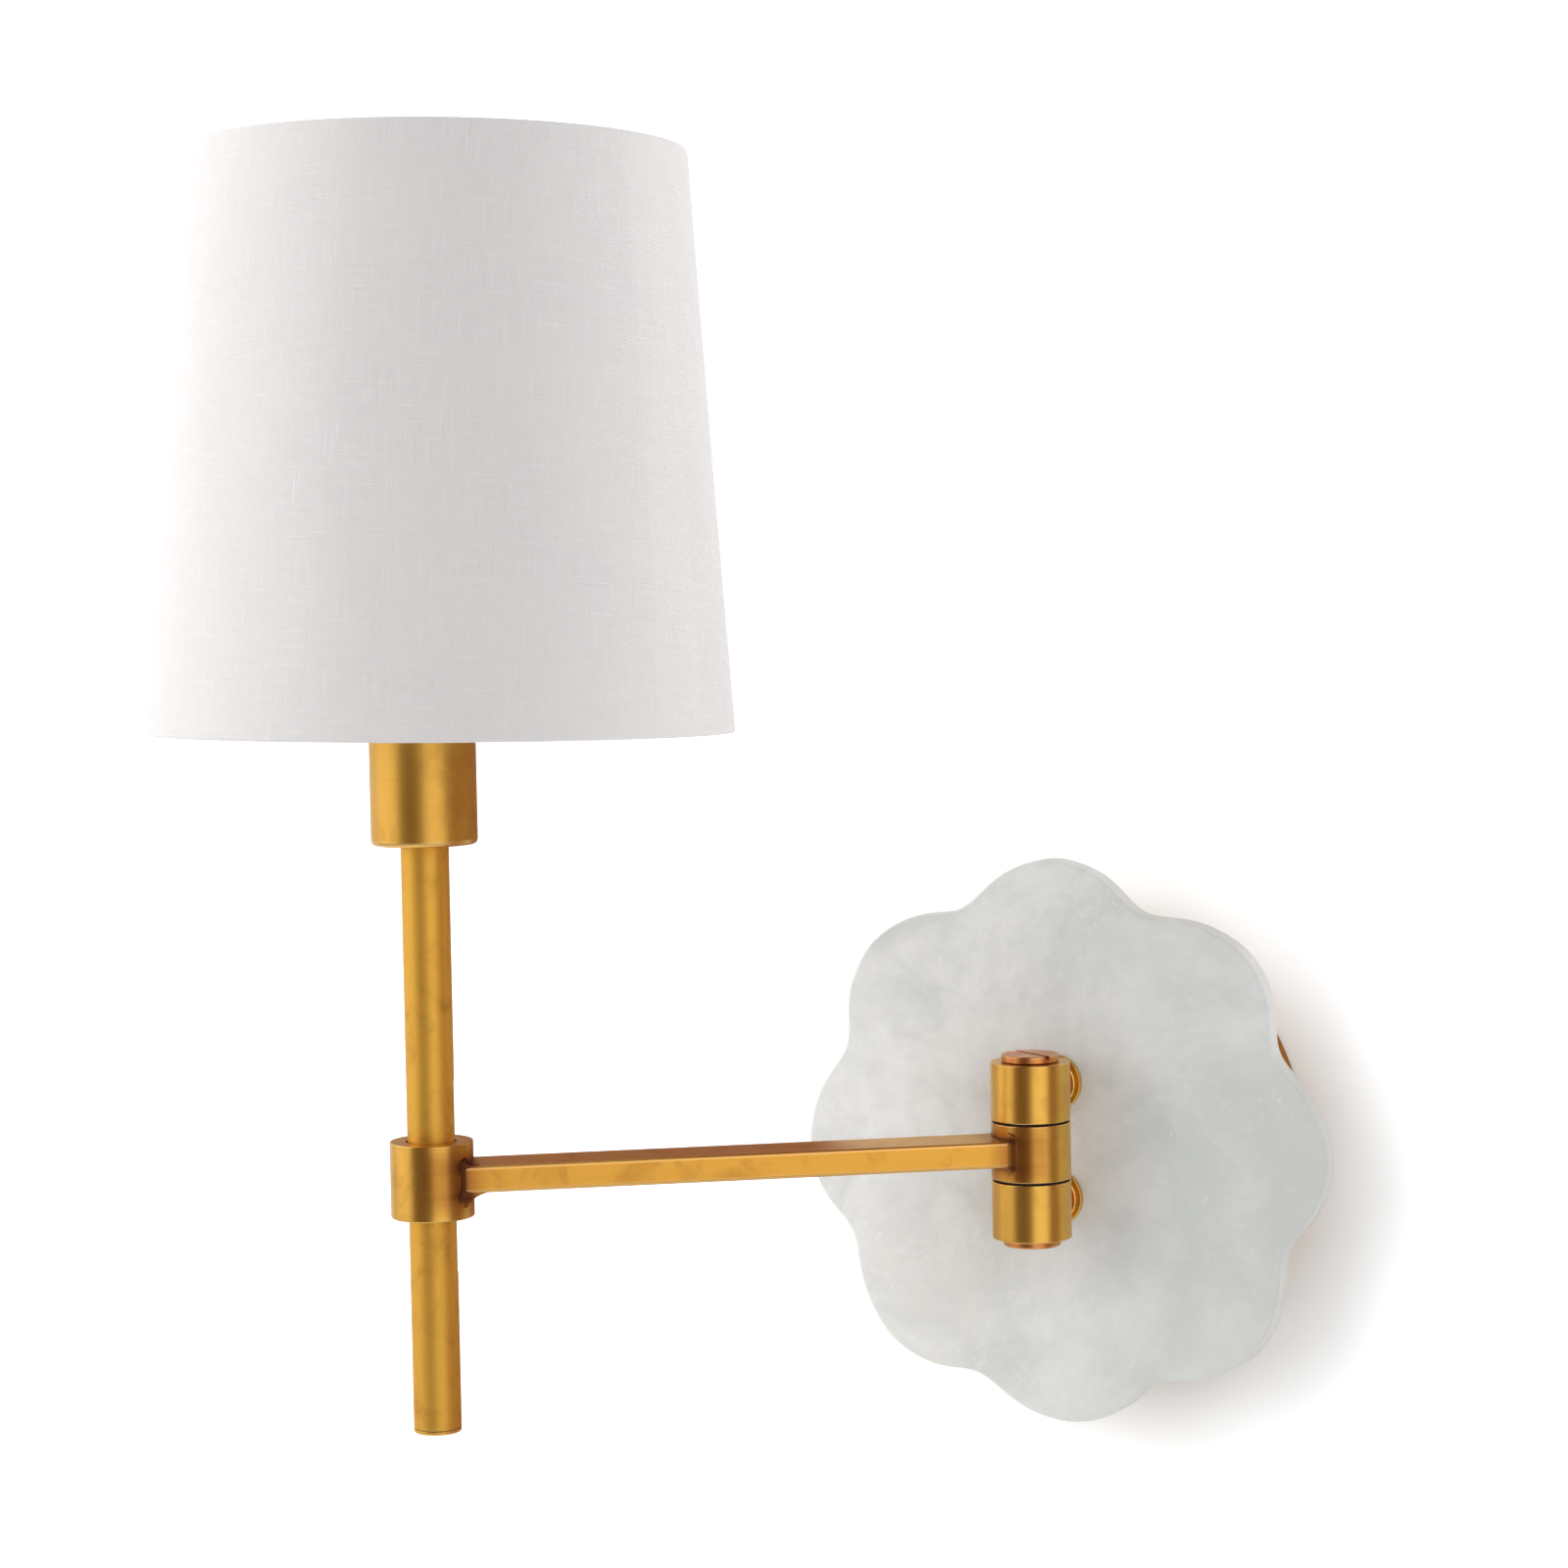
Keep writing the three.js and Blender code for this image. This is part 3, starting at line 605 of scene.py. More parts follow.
@node_group("Linen Weave", "Vector:Vector Thread:Float Slubs:Float", "Tone:Float Slub:Float Height:Float")
def linen_weave(vector, thread, slubs):
    """Threads along U and V from two waves that pass over and under, with slubs that swell some threads."""
    along, up, _ = vector.parts()
    wander = (vector.noise(160.0) - 0.5) * 0.0007
    u, v = (along + wander) / thread, (up - wander) / thread
    over = (u * math.pi).sine() * (v * math.pi).sine()
    warp = ((u * TAU).sine() + 1.0) * over.smooth(-0.5, 0.5)
    weft = ((v * TAU).sine() + 1.0) * over.smooth(-0.5, 0.5, 1.0, 0.0)

    def threads(length_way, width_way):
        """Streaks as wide as a thread and many times as long."""
        return vector.node("CombineXYZ", [length_way * 0.035, width_way * 0.9]).noise(1.0, 2.0, 0.6)

    lying, standing = threads(u, v), threads(v, u)
    slub = lying.smooth(0.56, 0.74).most(standing.smooth(0.56, 0.74)) * slubs
    thin = lying.smooth(0.30, 0.42, 1.0, 0.0).most(standing.smooth(0.30, 0.42, 1.0, 0.0))
    woven = warp + weft
    tone = (woven * 0.25 + slub * 0.5 - thin * (slubs * 0.35)).clamped()
    return tone, slub, woven * 0.35 + slub * 0.6


@node_group("Fine Grain", "Vector:Vector Size:Float", "Tone:Float Broad:Float Height:Float")
def fine_grain(vector, size):
    """An even grain of a given size, with a broader unevenness, for moulded, glazed and felted things."""
    scale = 1.0 / size
    grain, broad = vector.noise(scale, 4.0, 0.65), vector.noise(scale * 0.06)
    return grain, broad, grain + broad * 0.4


@node_group(
    "Settled Dust", "Vector:Vector Colour:Color Roughness:Float Amount:Float", "Colour:Color Roughness:Float"
)
def settled_dust(vector, tint, roughness, amount):
    """A pale film where a surface faces up, broken up by noise."""
    up = vector.node("NewGeometry", (), "Normal").parts()[2]
    film = up.smooth(0.35, 0.98) * vector.noise(320.0, 5.0, 0.7).smooth(0.35, 0.75) * amount
    return film.mix(tint, (0.52, 0.50, 0.47, 1)), (roughness + film * 0.5).clamped()


# --- materials


def rgba(tint, share=1.0):
    return (*(np.array(tint) * share), 1)


def opened(name, **constants):
    """A new material with constants set on its Principled shader, and its Object and UV coordinates."""
    made = bpy.data.materials.new(name)
    made.use_nodes = True
    for key, value in constants.items():
        made.node_tree.nodes["Principled BSDF"].inputs[key.replace("_", " ")].default_value = value
    at = add(made.node_tree, "TexCoord").outputs
    return made, Value(at["Object"]), Value(at["UV"])


def dressed(made, tint, rough, height, depth, strength=1.0):
    """Joins the colour, the roughness and a bump of that depth to the material's shader."""
    normal = height.node("Bump", {"Height": height, "Distance": depth, "Strength": strength})
    for key, value in (("Base Color", tint), ("Roughness", rough), ("Normal", normal)):
        made.node_tree.links.new(value.socket, made.node_tree.nodes["Principled BSDF"].inputs[key])
    return made


def brass(name, bright, roughness, blotch, share, spacing=1.0, grip=0.45, turn=0.0, dust=0.0):
    """Satin brass with polishing lines along U, or turned from it by an angle, browning and worn rims.

    The blotches are given in millimetres, the share is of the browning, and the grip is the anisotropy.
    """
    made, place, uv = opened(name, Metallic=1.0, Anisotropic=grip)
    along = uv.node("Mapping", {"Vector": uv, "Rotation": (0, 0, turn)})
    height, lines = brush_lines(along, sizes().line_spacing * spacing)
    browning = sizes().patina * share
    brown, scorch = rgba(colours().brown), rgba(colours().scorched_and_shaded)
    tint, rough = patina(place, rgba(bright), brown, scorch, blotch * MM, browning, lines, roughness)
    if dust:
        tint, rough = settled_dust(place, tint, rough, dust)
    return dressed(made, tint, rough, height, 0.0003 * MM, 0.5)


def grained(name, tint, dark, roughness, size, depth, spread=0.2, dust=0.0, **constants):
    """A moulded, plated, glazed or felted finish: two tones by a grain of a size and depth in millimetres."""
    made, place, _ = opened(name, **constants)
    tone, broad, height = fine_grain(place, size * MM)
    mixed = tone.mix(rgba(dark), rgba(tint))
    rough = (broad * spread + (roughness - spread / 2)).clamped()
    if dust:
        mixed, rough = settled_dust(place, mixed, rough, dust)
    return dressed(made, mixed, rough, height, depth * MM)


def pale_stone():
    made, place, _ = opened(
        "Pale stone", IOR=1.5,
        Subsurface_Weight=0.12, Subsurface_Radius=(1.0, 1.0, 0.9), Subsurface_Scale=2 * MM,
    )
    tint, rough, height = stone_clouds(place, rgba(colours().stone), rgba(colours().cloud))
    return dressed(made, tint, rough, height, 0.12 * MM, 0.5)


def shade_linen():
    made, _, uv = opened("Shade linen", Sheen_Weight=0.25, Sheen_Roughness=0.5, Specular_IOR_Level=0.25)
    tone, slub, height = linen_weave(uv, sizes().thread, sizes().slubs)
    light = np.array(colours().linen)
    threads = tone.mix(rgba(light, 0.86), rgba(np.minimum(light * 1.09, 1)))
    uneven = uv.noise(26.0, 4.0).smooth(0.3, 0.7) * 0.35
    tint = uneven.mix(threads, rgba(light, (0.97, 0.945, 0.93)))
    return dressed(made, tint, 0.95 - slub * 0.15, height, 0.11 * MM, 0.8)


def finishes():
    """Every finish by its key, as a call that makes it."""
    c = colours()
    plain = np.array(c.brass)
    drawn = {"grip": 0.0, "turn": math.pi / 2}
    glow = {"Coat_Weight": 0.6, "Subsurface_Weight": 0.3, "Subsurface_Scale": 10 * MM}
    thin = {"Subsurface_Weight": 0.2, "Subsurface_Scale": 2 * MM}
    return {
        "turned": lambda: brass("Turned brass", plain, 0.28, 9, 0.5, 2.0),
        "middle": lambda: brass("Handled brass", plain, 0.28, 9, 0.7, 2.0),
        "cup": lambda: brass("Cup brass", plain, 0.36, 18, 0.7, grip=0.2),
        "bar": lambda: brass("Arm brass", plain * (1.0, 0.9, 0.8), 0.34, 14, 0.9, grip=0.3),
        # Painted light: the tube's brass is brighter than the plain brass in red and green, for more light on
        # the stem.
        "tube": lambda: brass("Drawn tube brass", plain * (1.15, 1.15, 1.0), 0.52, 16, 0.9, 1.5, **drawn),
        "pan": lambda: brass("Canopy brass", plain, 0.42, 30, 0.6, 1.4, grip=0.1, dust=0.5),
        "copper": lambda: brass("Coppery brass", c.copper, 0.3, 8, 0.8),
        "shell": lambda: brass("Rolled brass", plain, 0.28, 6, 0.6),
        "steel": lambda: grained(
            "Zinc plate", c.steel, np.array(c.steel) * 0.72, 0.36, 1.2, 0.01, 0.2, 0.4, Metallic=1.0
        ),
        "green": lambda: grained(
            "Green zinc plate", (0.08, 0.36, 0.16), (0.04, 0.22, 0.09), 0.35, 0.8, 0.01, Metallic=0.7
        ),
        "nylon": lambda: grained(
            "Black nylon", (0.03, 0.022, 0.017), (0.014, 0.011, 0.009), 0.75, 0.5, 0.01,
            Specular_IOR_Level=0.15,
        ),
        "felt": lambda: grained(
            "Black felt", (0.06, 0.058, 0.055), (0.015,) * 3, 0.95, 0.35, 0.2, 0.05, 0.3, Sheen_Weight=0.4
        ),
        "porcelain": lambda: grained(
            "Porcelain", (0.86, 0.84, 0.78), (0.78, 0.755, 0.69), 0.2, 1.5, 0.006, 0.14, 0.5, Coat_Weight=0.4
        ),
        "aluminium": lambda: grained(
            "Rolled aluminium", (0.80, 0.80, 0.79), (0.58,) * 3, 0.32, 0.9, 0.006, Metallic=1.0
        ),
        "opal": lambda: grained(
            "Opal glass", (0.93, 0.925, 0.90), (0.885, 0.88, 0.85), 0.16, 5, 0.004, 0.1, 0.3, **glow
        ),
        "wire": lambda: grained(
            "White coated wire", (0.82, 0.81, 0.77), (0.68, 0.67, 0.63), 0.42, 0.9, 0.02, 0.2, 0.4
        ),
        "liner": lambda: grained(
            "Shade liner", c.liner, np.array(c.liner) * 0.93, 0.55, 2, 0.02, 0.2, 0.2, **thin
        ),
        "stone": pale_stone,
        "linen": shade_linen,
    }


MATERIALS = {}


def material(key):
    """The finish of that key, made the first time it is asked for."""
    if key not in MATERIALS:
        MATERIALS[key] = finishes()[key]()
    return MATERIALS[key]


# --- wall plate


def outline(angle):
    """Radius of the scalloped outline: eight round lobes as cosines, and a hand-cut unevenness as sines."""
    lobed = SLAB_RADIUS + sum(height * np.cos(count * angle) for count, height in LOBE_WAVES)
    return lobed + sum(height * np.sin(count * angle + phase) for count, height, phase in HAND_CUT)


def make_slab():
    """The outline at each depth, drawn in by the rounded edge; both faces are rings that shrink inwards."""
    size = sizes()
    columns = LOBES * 80
    angle = turns(columns)
    thick = SLAB_HIGH[1] - SLAB_LOW[1]
    corners = [(SLAB_RADIUS, 0), (0, 0), (0, thick), (SLAB_RADIUS, thick)]
    edge_line, edge = softened(corners, size.slab_round, steps=9)
    inset, depth = edge_line[1:-1].T
    waviness = sum(np.sin(count * angle + phase) for count, phase in SAW_MARKS)
    radius = outline(angle) - size.slab_ripple * (1 - waviness / 3)
    rim = radius - inset[:, None]
    rings = FACE_RINGS[:, None]
    r = np.concatenate([rings * rim[:1], rim, rings[::-1] * rim[-1:]])
    y = np.pad(depth, len(rings), "edge")[:, None]
    turn = angle + LOBE_TURN
    uv = joined(np.linspace(0, TAU * SLAB_RADIUS, columns + 1), np.linspace(0, 1, len(r))[:, None])
    marks = np.pad(edge[1:-1], len(rings))[:, None]
    place = shift(0, SLAB_LOW[1], -PLATE_DROP)
    slab = surface("stone_plate", joined(r * np.cos(turn), y, r * np.sin(turn)), place, uv, marks)
    finished(slab, "wall_plate", "pale_stone", "stone", "stone_slab")


def make_canopy():
    """A shallow turned pan with a rounded front rim and a thin wall, and its two side screws."""
    low, high = extent("canopy_pan")
    deep = high[1] - low[1]
    r, w = CANOPY_RADIUS, SHEET_WALL
    corners = [(0, 0), (r, 0), (r, deep), (r - w, deep), (r - w, w), (0, w)]
    radii = MM * np.array([0, 1.8, 0.3, 0.3, 1.0, 0])
    pan = turned("canopy", corners, shift(0, low[1], -PLATE_DROP) @ TO_WALL, radii, 192)
    finished(pan, "wall_plate", "aged_brass", "pan", "canopy_pan")
    for side, node in ((1, "canopy_screw_right"), (-1, "canopy_screw_left")):
        _, y, z = middle(node)
        place = shift((r + GAP) * side, y, z) @ spin("Y", side * math.pi / 2)
        screw = turned(f"{node}_head", SCREW, place, 0.15 * MM, 48)
        box = MM * np.array([(-4, -0.5, 0.9), (4, 0.5, 3)])
        slotted(screw, box, place @ spin("Z", 0.5), 0.06 * MM)
        finished(screw, "wall_plate", "aged_brass", "turned", node)


def threaded(name, radius, pitch, depth, low, high, place, bore=0.0, steps=48):
    """A rod or tube with a screw thread, which fades out at both ends.

    r = radius - depth (1 - cos(2 pi h / pitch - t)) / 2
    """
    rows_per_turn = 9
    h = np.linspace(low, high, max(int((high - low) / pitch * rows_per_turn), 8))[:, None]
    t = turns(steps)
    fade = np.clip(np.minimum(h - low, high - h) / pitch, 0, 1)
    r = radius - depth * (0.5 - 0.5 * np.cos(TAU * h / pitch - t)) * fade - 0.3 * depth * (1 - fade)
    ends = np.full((1, steps), bore)
    r = np.concatenate([ends, r, ends])
    h = np.concatenate([[[low]], h, [[high]]])
    uv = joined(np.linspace(0, TAU * radius, steps + 1), h - low)
    if bore:
        uv = np.concatenate([uv, uv[:1]])
    return surface(name, joined(r * np.cos(t), r * np.sin(t), h), place, uv, loop=bool(bore))


def make_posts():
    """Each post runs from a saddle on the barrel to the stone, with a threaded end and a stepped rosette."""
    face = SLAB_LOW[1] - HINGE[1]
    shoulder = face - 3.3 * MM
    section, smooth = circle(POST_RADIUS, 72), np.zeros(72)
    for name in ("upper", "lower"):
        place = shift(0, HINGE[1], middle(f"{name}_post")[2])
        across = place @ spin("Z", math.pi / 2)
        start = saddle(BARREL_RADIUS + GAP)
        post = carried(f"{name}_post_body", section, smooth, start, lambda y, z: shoulder, across, 8)
        finished(post, "wall_plate", "coppery_brass", "copper", f"{name}_post")
        along = place @ TO_WALL
        end = extent(f"{name}_post")[1][1] - HINGE[1]
        thread = threaded(
            f"{name}_post_thread", POST_THREAD, 1.0 * MM, 0.5 * MM, shoulder - 1 * MM, end, along, 3.0 * MM
        )
        finished(thread, "wall_plate", "coppery_brass", "copper")
        rosette = turned(f"{name}_rosette_ring", ROSETTE + (0, face - GAP), along, 0.22 * MM, closed=True)
        finished(rosette, "wall_plate", "aged_brass", "turned", f"{name}_rosette")


# --- hinge barrel


def sleeve(outer, inner, low, high, rows=0):
    """The section of a tube, with extra points up its outer wall."""
    wall = [(outer, z) for z in np.linspace(low, high, rows + 2)[1:-1]]
    return [(inner, low), (outer, low), *wall, (outer, high), (inner, high)]


def make_barrel():
    """Three knuckles on one pin, a slotted cap above and a plain one below; the middle knuckle swings."""
    rim, rows = sizes().rim_round, 16
    radii = [rim, rim, *[0] * rows, rim, rim]
    for node, body, look, place in (
        ("knuckle_top", "wall_plate", "turned", AT_HINGE),
        ("knuckle_bottom", "wall_plate", "turned", AT_HINGE),
        ("knuckle_middle", "swing_arm", "middle", AT_ARM),
    ):
        corners = sleeve(BARREL_RADIUS, PIN_CLEAR, *heights(node), rows)
        knuckle = turned(f"{node}_sleeve", corners, place, radii, 128, closed=True)
        if body == "swing_arm":
            # Darkening near the arm's joint: its tint and painted shade in the corners.
            scorched_and_shaded(knuckle, BARREL_RADIUS, AT_ARM, 0.85)
        finished(knuckle, body, "aged_brass", look, node)
    half = heights("knuckle_top")[1]
    spigot, foot, seat = 3.3 * MM, half - 8.8 * MM, half + GAP
    radii = MM * np.array([0, 0.2, 0.1, 0.25, 0.5, 0])
    for node, place in (("cap_top_slotted", AT_HINGE), ("cap_bottom", AT_HINGE @ spin("X", math.pi))):
        top = max(np.abs(heights(node)))
        corners = [(0, foot), (spigot, foot), (spigot, seat), (CAP_RADIUS, seat), (CAP_RADIUS, top), (0, top)]
        cap = turned(f"{node}_disc", corners, place, radii, 128)
        if node == "cap_top_slotted":
            r = CAP_RADIUS + 1 * MM
            box = [(-r, -0.8 * MM, top - 1.2 * MM), (r, 0.8 * MM, top + 1 * MM)]
            slotted(cap, box, place @ spin("Z", CAP_SLOT_TURN), 0.09 * MM)
        finished(cap, "wall_plate", "coppery_brass", "copper", node)


# --- arm


def brazed(name, section, wall, away, shape, place):
    """The concave joint between the bar and a round wall.

    From a point on the bar, some fillets away from the wall, a parabola bends past the corner between
    them to a point on the wall, one fillet out from the bar. A row buried in the metal closes the ring.
    The shape holds the fillet's share beside the bar, its reach along the bar, its share under the bar,
    and how far the bend is filled towards a straight web.
    """
    beside, reach, below, fill = shape
    buried, sunk = 0.4 * MM, 0.6 * MM
    along = np.roll(section, -1, axis=0) - np.roll(section, 1, axis=0)
    out = np.stack([along[:, 1], -along[:, 0]], axis=1)
    out /= np.linalg.norm(out, axis=1, keepdims=True)
    out *= np.sign((out * section).sum(axis=1, keepdims=True))
    steep = out[:, 1:] ** 2
    size = sizes().fillet * (beside + (1 - beside) * steep)
    size = size * np.where(out[:, 1:] < 0, 1 + (below - 1) * steep, 1)

    def on_wall(points):
        return np.column_stack([wall(points[:, 0], points[:, 1]), points])

    corner, foot = on_wall(section), on_wall(section + out * size)
    start = corner + away * size * (reach, 0, 0)
    s = np.linspace(0, 1, 9)[:, None, None]
    bend = corner + fill * ((start + foot) / 2 - corner)
    arc = (1 - s) ** 2 * start + 2 * s * (1 - s) * bend + s**2 * foot
    root = on_wall(section - out * buried) - (away * sunk, 0, 0)
    points = np.concatenate([arc, root[None]])
    around, across = 50 * MM, 6 * MM
    uv = joined(np.linspace(0, around, len(section) + 1), np.linspace(0, across, len(points) + 1)[:, None])
    return surface(name, points, place, uv, loop=True)


def make_arm():
    """A flat bar with rounded edges from the barrel to the collar, and a brazed joint at each end."""
    y, z = BAR_WIDTH / 2, BAR_HEIGHT / 2
    section, edge = softened([(y, -z), (y, z), (-y, z), (-y, -z)], sizes().bar_round, closed=True, steps=7)
    at_barrel = saddle(BARREL_RADIUS + 0.05 * MM)
    at_collar = saddle(COLLAR_RADIUS + 0.05 * MM, ARM_LENGTH, -1)
    bar = carried("flat_arm", section, edge, at_barrel, at_collar, AT_ARM, 80)
    # Darkening near both joints: their tint and painted shade in the corners above and below the bar.
    scorched_and_shaded(bar, BARREL_RADIUS, AT_ARM, 0.9)
    scorched_and_shaded(bar, COLLAR_RADIUS, AT_COLLAR)
    finished(bar, "swing_arm", "aged_brass", "bar", "arm_bar")
    for name, wall, away, shape in (
        ("barrel_joint", at_barrel, 1, (0.4, 1.2, 1.0, 0.0)),
        ("collar_joint", at_collar, -1, (0.2, 1.5, 1.6, 0.45)),
    ):
        joint = brazed(name, section, wall, away, shape, AT_ARM)
        scorched_and_shaded(joint, BARREL_RADIUS, AT_ARM, 0.95)
        scorched_and_shaded(joint, COLLAR_RADIUS, AT_COLLAR, 1.6)
        finished(joint, "swing_arm", "coppery_brass", "bar")
    rows = 24
    corners = sleeve(COLLAR_RADIUS, COLLAR_BORE, *heights("collar"), rows)
    radii = MM * np.array([0.25, 0.75, *[0] * rows, 0.75, 0.25])
    collar = turned("arm_collar", corners, AT_STEM, radii, 128, closed=True)
    scorched_and_shaded(collar, COLLAR_RADIUS, AT_COLLAR, 1.1)
    finished(collar, "swing_arm", "aged_brass", "middle", "collar")


# --- lamp head


def make_stem():
    """A tube with a long slot for the wire on one side, and a plug in its lower end."""
    corners = sleeve(STEM_RADIUS, STEM_BORE, *heights("stem_tube"))
    tube = turned("stem", corners, AT_STEM, 0.15 * MM, closed=True)
    width, half = WIRE_SLOT
    slotted(tube, [(-STEM_RADIUS - 1 * MM, -width / 2, -half), (0, width / 2, half)], AT_STEM, 0.1 * MM)
    finished(tube, "lamp_head", "aged_brass", "tube", "stem_tube")
    low, high = heights("stem_end_plug")
    r, spigot, seat = STEM_RADIUS, STEM_BORE - GAP, low + 1.2 * MM
    corners = [(0, low), (r, low), (r, seat), (spigot, seat), (spigot, high), (0, high)]
    plug = turned("stem_plug", corners, AT_STEM, MM * np.array([0, 0.6, 0.12, 0.1, 0.3, 0]))
    finished(plug, "lamp_head", "aged_brass", "tube", "stem_end_plug")


def make_cup():
    low, high = heights("socket_cup")
    r, bore, inner, floor = CUP_RADIUS, 5 * MM, CUP_RADIUS - SHEET_WALL, low + 1.2 * MM
    corners = [(bore, low), (r, low), (r, high), (inner, high), (inner, floor), (bore, floor)]
    radii = MM * np.array([0.1, sizes().cup_round / MM, 0.3, 0.3, 0.8, 0.1])
    cup = turned("cup", corners, AT_STEM, radii, 128, closed=True)
    finished(cup, "lamp_head", "aged_brass", "cup", "socket_cup")


def make_socket():
    """The porcelain socket with its rolled shell, and the clamp ring, whose grip is cut in by a cosine."""
    low, high = heights("socket_body")
    outer, bore, hole, floor = 15 * MM, 14 * MM, 5 * MM, low + 8 * MM
    corners = [(hole, low), (outer, low), (outer, high), (bore, high), (bore, floor), (hole, floor)]
    radii = MM * np.array([0.5, 0.8, 0.4, 0.3, 0.5, 0.5])
    body = turned("socket_porcelain_body", corners, AT_STEM, radii, closed=True)
    finished(body, "lamp_head", "socket_porcelain", "porcelain", "socket_body")
    low, high = heights("screw_shell")
    shell = threaded("rolled_shell", 13.8 * MM, LAMP_PITCH, 0.9 * MM, low, high, AT_STEM, 12.95 * MM, 96)
    finished(shell, "lamp_head", "coppery_brass", "shell", "screw_shell")
    corners = sleeve(18.0 * MM, 15.2 * MM, *heights("fitter_clamp_ring"))
    ring = turned(
        "clamp_ring", corners, AT_STEM, 0.4 * MM, 288, closed=True,
        swell=lambda t: -0.35 * MM * np.abs(np.cos(18 * t)) ** 6,
    )
    finished(ring, "lamp_head", "socket_porcelain", "porcelain", "fitter_clamp_ring")


def make_bulb():
    """An opal globe that flares from its neck by a cubic curve, and a rolled screw cap."""
    low, high = heights("bulb_glass")
    radius, neck = 30.0 * MM, 11.9 * MM
    centre = high - radius
    start = heights("socket_body")[1] - 4 * MM
    hold = np.array([(neck, start), (neck, start + 16 * MM), (radius, centre - 24 * MM), (radius, centre)])
    s = np.linspace(0, 1, 25)
    flare = np.array([(1 - s) ** 3, 3 * s * (1 - s) ** 2, 3 * s**2 * (1 - s), s**3]).T @ hold
    a = np.linspace(0, math.pi / 2, 22)[1:]
    dome = joined(radius * np.cos(a), centre + radius * np.sin(a))
    dome[-1, 0] = 0
    glass = turned("opal_globe", np.concatenate([[(0, low), (neck, low)], flare, dome]), AT_STEM, 0.0)
    finished(glass, "lamp_head", "opal_glass", "opal", "bulb_glass")
    low, high = heights("bulb_cap")
    cap = threaded("rolled_cap", 12.8 * MM, LAMP_PITCH, 0.8 * MM, low + 6 * MM, high, AT_STEM, steps=96)
    finished(cap, "lamp_head", "bulb_aluminium", "aluminium", "bulb_cap")
    corners = MM * np.array([(0, 0), (4.8, 0), (5.2, 1.5), (11.8, 5), (11.8, 7), (0, 7)]) + (0, low)
    base = turned("cap_insulator", corners, AT_STEM, 0.4 * MM)
    finished(base, "lamp_head", "black_nylon", "nylon")


def shade_radius(z):
    """Outer radius of the shade, straight from the bottom rim to the top one."""
    bottom, top = SHADE_RADII
    return bottom + (top - bottom) * np.asarray(z) / SHADE_HEIGHT


def shade_section(size):
    """Up the outside, round the top rim, down the turn-in, down the lining's face, and round the bottom rim.

    Each corner is a height on the cone, a depth inwards from there and its own height.
    """
    height, cloth, low = SHADE_HEIGHT, size.cloth, size.turn_in
    high = height - low
    lip, hem, soft, fold = 0.9 * MM, 2.0 * MM, 0.2 * MM, 2 * MM  # hem: thickness of the rim over its wire
    spots = [
        (0, soft, 0), *[(z, 0, z) for z in np.linspace(lip, height - lip, 40)], (height, soft, height),
        (height, hem, height), (height - 2 * RIM_WIRE, hem, height - 2.4 * RIM_WIRE),
        (high, 2 * cloth, high + fold), (high, 2 * cloth, high), (high, cloth, high - soft),
        *[(z, cloth, z) for z in np.linspace(high - fold, low + fold, 12)],
        (low, cloth, low + soft), (low, 2 * cloth, low), (low, 2 * cloth, low - fold),
        (2 * RIM_WIRE, hem, 2.4 * RIM_WIRE), (0, hem, 0),
    ]
    on_cone, inwards, z = np.transpose(spots)
    return np.column_stack([shade_radius(on_cone) - inwards, z])


def make_shade():
    """The linen, turned in over a wire at both rims; its stiff lining; the two wires.

    The cloth is one closed skin, turned round the axis and swelled by a few sines. Its lapped seam is a
    low step whose edges are hyperbolic tangents. Its UV is its place in the flat cut, a sector of a ring
    drawn from the cone's tip.
    """
    size = sizes()
    height, cloth, turn_in = SHADE_HEIGHT, size.cloth, size.turn_in
    bottom, top = SHADE_RADII
    steps = 384
    seam_at = math.radians(90) - ARM_TURN  # faces the wall
    profile, edge = softened(shade_section(size), 0.45 * MM, closed=True, steps=4)
    radius, z = profile[:, :1], profile[:, 1:]
    t = turns(steps)
    apart = np.abs((t - seam_at + math.pi) % TAU - math.pi) * bottom
    lap = 0.175 * MM * (1 - np.tanh((apart - size.seam_overlap / 2) / (0.5 * MM)))
    outer = radius > shade_radius(z) - 0.6 * cloth
    uneven = 0.22 * MM * (np.sin(3 * t + 0.6) + 0.6 * np.sin(5 * t + 2.0) + 0.4 * np.sin(9 * t + 4.1))
    r = radius + uneven * np.sin(math.pi * z / height) + lap * outer
    points = joined(r * np.cos(t), r * np.sin(t), z)
    points = np.roll(points, -round(seam_at % TAU / TAU * steps), axis=1)
    from_tip = shade_radius(np.concatenate([z, z[:1]])) / SHADE_SINE
    fan = np.linspace(-math.pi, math.pi, steps + 1) * SHADE_SINE
    uv = joined(from_tip * np.sin(fan), from_tip * np.cos(fan))
    linen = surface("shade_linen", points, AT_SHADE, uv, edge[:, None], loop=True)
    finished(linen, "lamp_head", "shade_linen", "linen", "shade_cloth")

    inner, stiff = cloth + 0.05 * MM, 0.35 * MM
    low, high = turn_in + 0.6 * MM, height - turn_in - 0.6 * MM
    around = [(low, inner), (high, inner), (high, inner + stiff), (low, inner + stiff)]
    corners = [(shade_radius(z) - inwards, z) for z, inwards in around]
    liner = turned("shade_lining", corners, AT_SHADE, 0.08 * MM, 192, closed=True)
    finished(liner, "lamp_head", "shade_linen", "liner")

    for node, z in (("shade_bottom_ring", 2.2 * MM), ("shade_top_ring", height - 2.2 * MM)):
        corners = circle(RIM_WIRE, 12) + (shade_radius(z) - 2.5 * MM - RIM_WIRE, z)
        ring = turned(f"{node}_wire", corners, AT_SHADE, 0.0, 192, closed=True)
        finished(ring, "lamp_head", "white_wire", "wire", node)


# --- kept hardware

